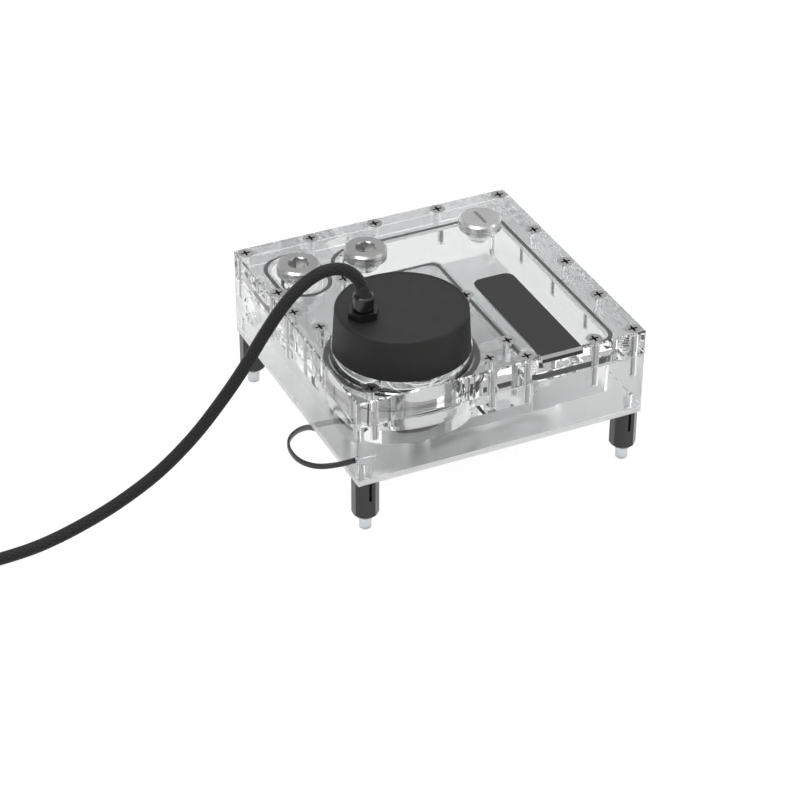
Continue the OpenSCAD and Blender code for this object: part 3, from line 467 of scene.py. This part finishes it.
@dataclass(frozen=True)
class Opal:
    """Milky acrylic sheet: scatters most light and lets some through."""

    name: str
    colour: Colour = (0.86, 0.865, 0.865)
    through: float = 0.3

    def build(self) -> bpy.types.Material:
        """Makes the material."""
        n = Nodes(self.name)
        shader = n.principled(self.colour, 0.3)
        shader.inputs["Transmission Weight"].default_value = self.through
        shader.inputs["IOR"].default_value = 1.49
        pale = tuple(min(1.0, c * 1.02) for c in self.colour)
        n.link(n.blend(n.noise(40.0, 3.0), self.colour, pale), shader.inputs["Base Color"])
        n.link(n.between(n.noise(700.0, 2.0), 0.26, 0.36), shader.inputs["Roughness"])
        n.link(n.bump(n.noise(1500.0, 2.0), 0.000006), shader.inputs["Normal"])
        return n.material


@dataclass(frozen=True)
class Laminated:
    """Stacked electrical steel: thin sheets seen as lines along Z."""

    name: str
    colour: Colour = (0.30, 0.31, 0.33)
    sheet: float = 0.0005

    def build(self) -> bpy.types.Material:
        """Makes the material."""
        n = Nodes(self.name)
        shader = n.principled(self.colour, 0.42, 0.9)
        split = n.add("SeparateXYZ")
        n.link(n.place(), split.inputs[0])
        wave = n.math("SINE", n.math("MULTIPLY", split.outputs["Z"], 2 * math.pi / self.sheet))
        n.link(n.bump(wave, 0.00004), shader.inputs["Normal"])
        n.link(n.blend(n.noise(200.0), tuple(c * 0.8 for c in self.colour), self.colour), shader.inputs["Base Color"])
        return n.material


@dataclass(frozen=True)
class Windings:
    """Enamelled wire wound round the stator's teeth."""

    name: str
    colour: Colour = (0.62, 0.26, 0.11)
    wire: float = 0.0006
    middle: Tuple[float, float] = (0.0, 0.0)

    def build(self) -> bpy.types.Material:
        """Makes the material."""
        n = Nodes(self.name)
        shader = n.principled(self.colour, 0.3, 0.75)
        split = n.add("SeparateXYZ")
        n.link(n.place(), split.inputs[0])
        x = n.math("SUBTRACT", split.outputs["X"], self.middle[0])
        y = n.math("SUBTRACT", split.outputs["Y"], self.middle[1])
        out = n.math("SQRT", n.math("ADD", n.math("MULTIPLY", x, x), n.math("MULTIPLY", y, y)))
        wave = n.math("ABSOLUTE", n.math("SINE", n.math("MULTIPLY", out, math.pi / self.wire)))
        n.link(n.bump(wave, 0.0002), shader.inputs["Normal"])
        return n.material


@dataclass(frozen=True)
class Board:
    """Circuit board: solder mask over faint tracks."""

    name: str
    colour: Colour = (0.02, 0.11, 0.06)

    def build(self) -> bpy.types.Material:
        """Makes the material."""
        n = Nodes(self.name)
        shader = n.principled(self.colour, 0.32)
        cells = n.add("TexBrick", Scale=420.0)
        n.link(n.place(), cells.inputs["Vector"])
        n.link(n.blend(cells.outputs["Fac"], self.colour, tuple(c * 1.8 for c in self.colour)),
               shader.inputs["Base Color"])
        n.link(n.bump(cells.outputs["Fac"], 0.00003), shader.inputs["Normal"])
        return n.material


class Piece:
    """Makes meshes and gives the frame's nodes their finish."""

    @staticmethod
    def mesh(name: str, verts: Sequence[Sequence[float]], faces: Sequence[Sequence[int]],
             material: bpy.types.Material, smooth: bool = True) -> bpy.types.Object:
        """Makes a mesh object from lists.

        Args:
            name: the object's name.
            verts: points in metres.
            faces: corners of each face.
            material: its finish.
            smooth: whether its faces are shaded smooth.

        Returns:
            The new object, linked to the scene.
        """
        data = bpy.data.meshes.new(name)
        data.from_pydata([tuple(v) for v in verts], [], [tuple(f) for f in faces])
        data.materials.append(material)
        for p in data.polygons:
            p.use_smooth = smooth
        data.update()
        obj = bpy.data.objects.new(name, data)
        bpy.context.scene.collection.objects.link(obj)
        return obj

    @staticmethod
    def dress(node: str, material: bpy.types.Material) -> bpy.types.Object:
        """Gives a CAD node its finish.

        Args:
            node: the node's name.
            material: the finish.

        Returns:
            The node's object.
        """
        obj = FRAME["nodes"][node]
        if not obj.material_slots:
            obj.data.materials.append(material)
        for slot in obj.material_slots:
            slot.link = "OBJECT"
            slot.material = material
        LOG.info("dressed %s in %s", node, material.name)
        return obj


FRAME: Dict[str, object] = {}


def spline_points(points: Sequence[Sequence[float]], steps: int) -> List[List[float]]:
    """Runs a smooth line through points, as the CAD routes do.

    Args:
        points: corners of the route, with any number of values each.
        steps: points made for each span.

    Returns:
        The points of the smooth line.
    """
    out: List[List[float]] = []
    last = len(points) - 1
    for i in range(last):
        a, b = points[max(i - 1, 0)], points[i]
        c, d = points[i + 1], points[min(i + 2, last)]
        for k in range(steps):
            t = k / steps
            out.append([0.5 * (2 * q + (r - p) * t + (2 * p - 5 * q + 4 * r - s) * t * t
                               + (3 * q - p - 3 * r + s) * t ** 3)
                        for p, q, r, s in zip(a, b, c, d)])
    out.append(list(points[last]))
    return out


def length_of(path: Sequence[Vector]) -> float:
    """Returns the length of a path."""
    return sum((b - a).length for a, b in zip(path, path[1:]))


@dataclass
class Studio:
    """Camera, floor, sky and lamps."""

    camera_at: Point = (-0.4376450, -0.8918138, 0.6801841)
    camera_right: Point = (0.90573802, -0.42381141, 0.00474598)
    camera_up: Point = (0.23358036, 0.50847156, 0.82879242)
    lens: float = 119.696
    floor_half: float = 4.0
    sky_tones: Tuple[Tuple[float, float], ...] = (
        (0.0, 0.95), (0.3, 0.8), (0.5, 0.55), (0.68, 0.4), (0.82, 0.7), (0.93, 1.0))

    def camera(self) -> bpy.types.Object:
        """Makes the camera."""
        data = bpy.data.cameras.new("camera")
        data.lens = self.lens
        data.sensor_width = 36.0
        data.clip_end = 50.0
        obj = bpy.data.objects.new("camera", data)
        bpy.context.scene.collection.objects.link(obj)
        right, up = Vector(self.camera_right), Vector(self.camera_up)
        back = right.cross(up)
        turn = Matrix((right, up, back)).transposed().to_4x4()
        obj.matrix_world = Matrix.Translation(self.camera_at) @ turn
        bpy.context.scene.camera = obj
        return obj

    def lamp(self, name: str, at: Point, size: float, power: float, aim: Point = (0.0, 0.0, 0.05)) -> None:
        """Adds a soft square lamp that looks at a point."""
        data = bpy.data.lights.new(name, "AREA")
        data.shape = "SQUARE"
        data.size = size
        data.energy = power
        obj = bpy.data.objects.new(name, data)
        bpy.context.scene.collection.objects.link(obj)
        obj.location = at
        obj.rotation_euler = (Vector(aim) - Vector(at)).to_track_quat("-Z", "Y").to_euler()

    def sky(self) -> None:
        """Makes the sky: graded grey to the eye and through glass, even and white as a light."""
        world = bpy.data.worlds.new("studio")
        bpy.context.scene.world = world
        world.use_nodes = True
        tree = world.node_tree
        tree.nodes.clear()
        out = tree.nodes.new("ShaderNodeOutputWorld")
        seen = tree.nodes.new("ShaderNodeBackground")
        light = tree.nodes.new("ShaderNodeBackground")
        mix = tree.nodes.new("ShaderNodeMixShader")
        path = tree.nodes.new("ShaderNodeLightPath")
        coords = tree.nodes.new("ShaderNodeTexCoord")
        split = tree.nodes.new("ShaderNodeSeparateXYZ")
        ramp = tree.nodes.new("ShaderNodeValToRGB")
        stops = ramp.color_ramp.elements
        stops[0].position, stops[1].position = self.sky_tones[0][0], self.sky_tones[-1][0]
        for _ in self.sky_tones[1:-1]:
            stops.new(0.5)
        for stop, (height, tone) in zip(stops, self.sky_tones):
            stop.position = height
            stop.color = (tone, tone, tone, 1.0)
        tree.links.new(coords.outputs["Generated"], split.inputs[0])
        tree.links.new(split.outputs["Z"], ramp.inputs["Fac"])
        tree.links.new(ramp.outputs["Color"], seen.inputs["Color"])
        light.inputs["Color"].default_value = (1.0, 1.0, 1.0, 1.0)
        light.inputs["Strength"].default_value = 0.45
        either = tree.nodes.new("ShaderNodeMath")
        either.operation = "MAXIMUM"
        both = tree.nodes.new("ShaderNodeMath")
        both.operation = "MAXIMUM"
        tree.links.new(path.outputs["Is Camera Ray"], either.inputs[0])
        tree.links.new(path.outputs["Is Glossy Ray"], either.inputs[1])
        tree.links.new(either.outputs[0], both.inputs[0])
        tree.links.new(path.outputs["Is Transmission Ray"], both.inputs[1])
        tree.links.new(both.outputs[0], mix.inputs[0])
        tree.links.new(light.outputs[0], mix.inputs[1])
        tree.links.new(seen.outputs[0], mix.inputs[2])
        tree.links.new(mix.outputs[0], out.inputs["Surface"])

    def floor(self) -> None:
        """Makes the pale floor, white to the eye with the object's soft shadow on it."""
        n = Nodes("pale_floor")
        diffuse = n.add("BsdfDiffuse")
        diffuse.inputs["Color"].default_value = (0.8, 0.8, 0.8, 1.0)
        glow = n.add("Emission", Strength=1.0)
        glow.inputs["Color"].default_value = (0.93, 0.93, 0.93, 1.0)
        paint = n.add("BsdfDiffuse")
        paint.inputs["Color"].default_value = (0.15, 0.15, 0.15, 1.0)
        add = n.add("AddShader")
        mix = n.add("MixShader")
        path = n.add("LightPath")
        n.link(paint.outputs[0], add.inputs[0])
        n.link(glow.outputs[0], add.inputs[1])
        seen = n.math("MAXIMUM", path.outputs["Is Camera Ray"],
                      n.math("MAXIMUM", path.outputs["Is Glossy Ray"], path.outputs["Is Transmission Ray"]))
        n.link(seen, mix.inputs[0])
        n.link(diffuse.outputs[0], mix.inputs[1])
        n.link(add.outputs[0], mix.inputs[2])
        n.link(mix.outputs[0], n.output.inputs["Surface"])
        h = self.floor_half
        obj = Piece.mesh("studio_floor", [(-h, -h, -0.0002), (h, -h, -0.0002), (h, h, -0.0002), (-h, h, -0.0002)],
                         [(0, 1, 2, 3)], n.material, False)

    def build(self) -> None:
        """Sets the stage."""
        self.camera()
        self.sky()
        self.floor()
        self.lamp("key", (-0.9, -0.5, 1.5), 1.1, 16.0)
        self.lamp("top", (0.3, 0.5, 1.9), 1.6, 18.0)
        self.lamp("fill", (1.2, -0.9, 0.8), 0.9, 6.0)
        scene = bpy.context.scene
        scene.view_settings.view_transform = "Standard"
        scene.cycles.max_bounces = 40
        scene.cycles.transmission_bounces = 36
        scene.cycles.glossy_bounces = 24
        scene.cycles.transparent_max_bounces = 32
        LOG.info("stage set")


@dataclass
class Sweep:
    """A tube or ribbon along a path, with UV round it and along it."""

    name: str
    path: List[Vector]
    half_wide: float
    half_thin: float
    sides: int = 16
    rolls: Optional[List[float]] = None
    square: float = 1.0
    scales: Optional[List[float]] = None

    def profile(self, k: int) -> Tuple[float, float]:
        """Returns one point of the cross section: a circle, or an oval with flat sides."""
        a = 2 * math.pi * k / self.sides
        c, s = math.cos(a), math.sin(a)
        p = self.square
        return (math.copysign(abs(c) ** p, c) * self.half_wide, math.copysign(abs(s) ** p, s) * self.half_thin)

    def build(self, material: bpy.types.Material) -> bpy.types.Object:
        """Makes the mesh.

        Args:
            material: its finish.

        Returns:
            The new object.
        """
        path = self.path
        count = len(path)
        tangents = [(path[min(i + 1, count - 1)] - path[max(i - 1, 0)]).normalized() for i in range(count)]
        side = Vector((0, 0, 1)).cross(tangents[0])
        if side.length < 0.1:
            side = Vector((0, 1, 0))
        verts: List[Vector] = []
        along = [0.0]
        for a, b in zip(path, path[1:]):
            along.append(along[-1] + (b - a).length)
        for i in range(count):
            t = tangents[i]
            if self.rolls is None:
                side = (side - t * side.dot(t)).normalized()
                wide, thin = side, t.cross(side)
            else:
                flat = t.cross(Vector((0, 0, 1))).normalized()
                rise = flat.cross(t)
                g = math.radians(self.rolls[i])
                wide = rise * math.cos(g) + flat * math.sin(g)
                thin = flat * math.cos(g) - rise * math.sin(g)
            for k in range(self.sides):
                a, b = self.profile(k)
                scale = self.scales[i] if self.scales else 1.0
                verts.append(path[i] + (wide * a + thin * b) * scale)
        faces: List[Tuple[int, ...]] = []
        for i in range(count - 1):
            for k in range(self.sides):
                k1 = (k + 1) % self.sides
                faces.append((i * self.sides + k, i * self.sides + k1,
                              (i + 1) * self.sides + k1, (i + 1) * self.sides + k))
        faces.append(tuple(reversed(range(self.sides))))
        faces.append(tuple((count - 1) * self.sides + k for k in range(self.sides)))
        obj = Piece.mesh(self.name, verts, faces, material)
        layer = obj.data.uv_layers.new(name="LeadUV")
        for f, poly in enumerate(obj.data.polygons):
            ring, k = divmod(f, self.sides)
            for j, loop in enumerate(poly.loop_indices):
                if ring >= count - 1:
                    layer.data[loop].uv = (0.5, 0.0)
                    continue
                u = (k + (1 if j in (1, 2) else 0)) / self.sides
                v = along[ring + (1 if j in (2, 3) else 0)]
                layer.data[loop].uv = (u, v)
        mesh = bmesh.new()
        mesh.from_mesh(obj.data)
        bmesh.ops.recalc_face_normals(mesh, faces=mesh.faces)
        mesh.to_mesh(obj.data)
        mesh.free()
        return obj


@dataclass
class PumpLead:
    """Braided lead of the pump: rises from the gland, falls to the floor and ends in a small coil."""

    diameter: float = 5.4
    route: List[Point] = field(default_factory=lambda: [
        (-50.2, -32, 100.8), (-52.2, -31.6, 105.2), (-55.9, -31, 108.9), (-61, -30.6, 110.9), (-68, -30, 110.2),
        (-76, -29.5, 105.7), (-84, -29, 98), (-93, -28.5, 85.6), (-102, -28, 71.6), (-112.6, -27.5, 57.4),
        (-125.4, -27, 42.8), (-141.4, -26.4, 29), (-159.6, -25.4, 18), (-177.4, -24, 10), (-194, -22.8, 4.8),
        (-209, -22, 2.8), (-224, -22, 2.75), (-238, -22, 2.75)])
    coil_middle: Tuple[float, float] = (-240.0, 10.8)
    coil_radius: float = 30.0
    lane: float = 2.8
    tail_radius: float = 13.6
    boot_length: float = 5.0
    boot_wide: float = 1.28

    def path(self) -> List[Vector]:
        """Returns the centreline from the gland to the plug, in metres."""
        low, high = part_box("gland_domenut")
        exit_at = [500 * (low[0] + high[0]), 500 * (low[1] + high[1]), 1000 * high[2]]
        points = [exit_at] + [list(p) for p in self.route]
        line = spline_points(points, 4)[:-1]
        cx, cy = self.coil_middle
        outer, inner = self.coil_radius + self.lane, self.coil_radius - self.lane
        steps = 60
        for i in range(steps + 1):
            turned = 540.0 * i / steps
            shift = min(1.0, max(0.0, (turned - 250.0) / 100.0))
            shift = shift * shift * (3 - 2 * shift)
            r = outer + (inner - outer) * shift
            a = math.radians(-90.0 - turned)
            line.append([cx + r * math.cos(a), cy + r * math.sin(a), 2.75])
        tail_y = cy + inner
        for i in range(1, 13):
            a = math.radians(90 - 15 * i)
            line.append([cx + 1 + self.tail_radius * math.cos(a),
                         tail_y - self.tail_radius + self.tail_radius * math.sin(a), 2.75])
        return [mm(p) for p in line]

    def boot(self, path: List[Vector]) -> bpy.types.Object:
        """Makes the tapered boot that stiffens the lead where it leaves the gland.

        Args:
            path: the lead's centreline.

        Returns:
            The boot.
        """
        short: List[Vector] = [path[0] + (path[0] - path[1]).normalized() * 0.0004]
        along = 0.0
        for a, b in zip(path, path[1:]):
            if along > self.boot_length * MM:
                break
            short.extend([a, (a + b) / 2])
            along += (b - a).length
        count = len(short) - 1
        scales = [self.boot_wide + (1.03 - self.boot_wide) * (i / count) ** 0.7 for i in range(count + 1)]
        scales[-1] = 1.005
        scales[0] = self.boot_wide
        rubber = Moulded("lead_boot_rubber", (0.009, 0.009, 0.009), 0.5, 2600.0, 0.00001, 0.3).build()
        boot = Sweep("lead_boot", short, self.diameter / 2 * MM, self.diameter / 2 * MM, 32, None, 1.0, scales)
        piece = boot.build(rubber)
        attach(piece, Body.BLOCK.value)
        return piece

    def build(self) -> bpy.types.Object:
        path = self.path()
        self.boot(path)
        braid = Braid("braided_sleeve").build()
        lead = Sweep("pump_lead_braid", path, self.diameter / 2 * MM, self.diameter / 2 * MM, 20).build(braid)
        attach(lead, Body.BLOCK.value)
        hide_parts("pump_lead", "pump_lead_coil", "pump_lead_tail")
        housing = Moulded("nylon_housing", (0.72, 0.70, 0.64), 0.35).build()
        contacts = Metal("tinned_contacts", (0.78, 0.74, 0.62), 0.3).build()
        plug = Piece.dress("power_plug", housing)
        pins = Piece.dress("power_contacts", contacts)
        LOG.info("pump lead: %.3f m", length_of(path))
        return lead


@dataclass
class LightLead:
    """Flat lead of the light: loops out of the left face, dives under the block and coils behind it."""

    width: float = 2.5
    thickness: float = 1.3
    route: List[Tuple[float, float, float, float]] = field(default_factory=lambda: [
        (-68, -64.5, 38, 0), (-76, -64, 37.8, 0), (-83, -59.4, 36.2, 0), (-87, -51, 34.6, 0),
        (-87.4, -41, 33.8, 0), (-84, -32, 32.6, 0), (-76.6, -23.4, 29.6, 0), (-68, -15.4, 24, 0),
        (-60, -8, 16, 10), (-53, 0, 8.6, 40), (-48.4, 9, 3.4, 70), (-46.4, 20, 1.1, 90), (-46, 34, 0.8, 90),
        (-46, 50, 0.8, 90), (-46, 66, 0.8, 90), (-46, 82, 0.8, 90), (-45, 97, 0.8, 90), (-41, 109, 0.8, 90),
        (-35.4, 119, 0.8, 90), (-31.6, 127, 0.8, 90), (-30.9, 131, 0.8, 90)])
    coil_middle: Tuple[float, float] = (-14.0, 131.0)
    coil_radius: float = 14.0
    lane: float = 2.9
    tail_radius: float = 5.6

    def path(self) -> Tuple[List[Vector], List[float]]:
        """Returns the centreline in metres and the ribbon's roll at each point."""
        line = spline_points([list(p) for p in self.route], 4)[:-1]
        cx, cy = self.coil_middle
        outer, inner = self.coil_radius + self.lane, self.coil_radius - self.lane
        steps = 90
        for i in range(steps + 1):
            turned = 810.0 * i / steps
            r = outer + (inner - outer) * turned / 810.0
            a = math.radians(180.0 - turned)
            line.append([cx + r * math.cos(a), cy + r * math.sin(a), 0.7, 90.0])
        top = cy + inner
        for i in range(1, 10):
            a = math.radians(90 - 20 * i)
            rise = 0.7 + 2.0 * min(1.0, i / 7)
            line.append([cx + self.tail_radius * math.cos(a),
                         top - self.tail_radius + self.tail_radius * math.sin(a), rise, 90.0])
        return [mm(p[:3]) for p in line], [p[3] for p in line]

    def build(self) -> bpy.types.Object:
        path, rolls = self.path()
        jacket = Moulded("flat_jacket", (0.012, 0.012, 0.013), 0.38, 2600.0, 0.00001).build()
        half_wide, half_thin = self.width / 2 * MM, self.thickness / 2 * MM
        lead = Sweep("light_lead_ribbon", path, half_wide, half_thin, 16, rolls, 0.6).build(jacket)
        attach(lead, Body.BLOCK.value)
        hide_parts("light_lead", "light_lead_coil", "light_lead_tail")
        plug = Piece.dress("light_plug", Moulded("small_housing", (0.015, 0.015, 0.016), 0.45).build())
        pins = Piece.dress("light_contacts", Metal("small_contacts", (0.78, 0.72, 0.55), 0.3).build())
        LOG.info("light lead: %.3f m", length_of(path))
        return lead


PLUG_THREAD_LOW = 0.0072
PLUG_THREAD_HIGH = 0.0003
PORT_RADIUS = 0.00658


def plug_threads(inset: float) -> Tuple[ThreadedBore, ...]:
    """Returns the threads of the three plugs.

    Args:
        inset: how far the threaded surface lies inside the port's wall.

    Returns:
        One bore for each plug.
    """
    bores: List[ThreadedBore] = []
    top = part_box("cover_plate")[1][2]
    for node in ("outlet_plug", "return_plug", "fill_plug"):
        low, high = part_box(node)
        middle = ((low[0] + high[0]) / 2, (low[1] + high[1]) / 2, 0.0)
        bores.append(ThreadedBore(Axis.Z, middle, top - PLUG_THREAD_LOW, top - PLUG_THREAD_HIGH, PORT_RADIUS - inset))
    return tuple(bores)


@dataclass
class AcrylicBlock:
    """Cover, base and sole, the trim bar, the seals, the feet and the light."""

    floor_height: float = 0.009
    floor_roughness: float = 0.04
    underside_roughness: float = 0.45
    port_height: float = 0.0175
    port_depth: float = 0.0101
    left_port_along: float = 0.117
    back_port_along: float = 0.0515

    def side_ports(self) -> Tuple[ThreadedBore, ...]:
        """Returns the threads of the left and the back port."""
        low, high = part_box("base_block")
        height = low[2] + self.port_height
        left = ThreadedBore(Axis.X, (0.0, low[1] + self.left_port_along, height), low[0], low[0] + self.port_depth)
        back = ThreadedBore(Axis.Y, (low[0] + self.back_port_along, 0.0, height), high[1] - self.port_depth, high[1])
        return left, back

    def build(self) -> None:
        """Dresses the block's nodes."""
        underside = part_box("base_block")[0][2]
        levels = ((underside + self.floor_height, self.floor_roughness), (underside, self.underside_roughness))
        base = ClearAcrylic("clear_base", matt_levels=levels, bores=self.side_ports()).build()
        cover = ClearAcrylic("clear_cover", bores=plug_threads(0.0)).build()
        sole = Opal("opal_sole").build()
        Piece.dress("base_block", base)
        Piece.dress("cover_plate", cover)
        Piece.dress("sole_plate", sole)
        Piece.dress("trim_bar", BlackStrip("black_strip").build())
        seal = Moulded("seal_cord", (0.012, 0.012, 0.012), 0.6).build()
        for node in ("chamber_seal", "outlet_seal", "outlet_plug_seal", "return_plug_seal", "fill_plug_seal",
                     "pump_seal"):
            Piece.dress(node, seal)
        sleeve = Moulded("foot_sleeve", (0.012, 0.012, 0.012), 0.22, 2600.0, 0.000008).build()
        pin = Nylon("foot_pin").build()
        for corner in ("front_left", "front_right", "back_left", "back_right"):
            Piece.dress("foot_" + corner, sleeve)
            Piece.dress("pin_" + corner, pin)
        Piece.dress("light_module", Nylon("clear_lens", (0.93, 0.95, 0.97), 0.08, 0.9).build())


@dataclass
class Fasteners:
    """Screws and plugs."""

    recess_low: float = 0.0019
    recess_high: float = 0.00032
    thread_inset: float = 0.00006

    def build(self) -> None:
        """Dresses the screws and plugs."""
        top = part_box("cover_screws")[1][2]
        # The band just below the heads' tops is painted near black: painted shade in the recesses.
        steel = Metal("screw_steel", (0.5, 0.5, 0.5), 0.3, Axis.Z, 2600.0, 0.00002,
                      painted_shade_between=(top - self.recess_low, top - self.recess_high), painted_shade_colour=(0.03, 0.03, 0.03)).build()
        Piece.dress("cover_screws", steel)
        Piece.dress("pump_screws", steel)
        threads = plug_threads(self.thread_inset)
        for node, thread, tone in zip(("outlet_plug", "return_plug", "fill_plug"), threads, (0.52, 0.52, 0.7)):
            nickel = Metal("satin_nickel_" + node, (tone, tone, tone * 0.995), 0.26, bores=(thread,))
            Piece.dress(node, nickel.build())


@dataclass
class Pump:
    """Motor shell, cap, gland, stator, board, can and rotor."""

    def build(self) -> None:
        """Dresses the pump's nodes."""
        Piece.dress("motor_shell", Metal("polished_shell", (0.72, 0.72, 0.72), 0.12, Axis.Z).build())
        Piece.dress("separation_can", Metal("drawn_can", (0.6, 0.6, 0.59), 0.2, Axis.Z).build())
        Piece.dress("bearing_shaft", Moulded("ceramic", (0.86, 0.84, 0.78), 0.18).build())
        Piece.dress("stator_core", Laminated("stator_sheets").build())
        low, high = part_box("stator_core")
        middle = ((low[0] + high[0]) / 2, (low[1] + high[1]) / 2)
        Piece.dress("stator_coils", Windings("stator_wire", middle=middle).build())
        Piece.dress("driver_board", Board("driver_board").build())
        parts = Moulded("board_parts", (0.03, 0.03, 0.035), 0.4).build()
        Piece.dress("board_parts", parts)
        Piece.dress("inner_leads", Moulded("inner_leads", (0.02, 0.02, 0.02), 0.5).build())
        Piece.dress("pump_cap", Moulded("cap_black", (0.0095, 0.0095, 0.009), 0.55, 5200.0, 0.00003, 0.3).build())
        rotor = Moulded("rotor_black", (0.03, 0.03, 0.032), 0.45).build()
        Piece.dress("impeller", rotor)
        Piece.dress("rotor_cap", rotor)
        Piece.dress("rotor_magnet", Moulded("ferrite", (0.08, 0.08, 0.085), 0.5).build())
        Piece.dress("rotor_bush", Moulded("carbon", (0.04, 0.04, 0.04), 0.4).build())
        gland = Moulded("gland_black", (0.007, 0.007, 0.007), 0.24, 3000.0, 0.00001, 0.6).build()
        for node in ("cable_gland", "gland_locknut", "gland_domenut"):
            Piece.dress(node, gland)


def main() -> None:
    """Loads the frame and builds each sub-assembly."""
    logging.basicConfig(level=logging.INFO, format="%(name)s: %(message)s")
    FRAME.update(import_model())
    Studio().build()
    PumpLead().build()
    LightLead().build()
    AcrylicBlock().build()
    Fasteners().build()
    Pump().build()


if __name__ == "__main__":
    main()
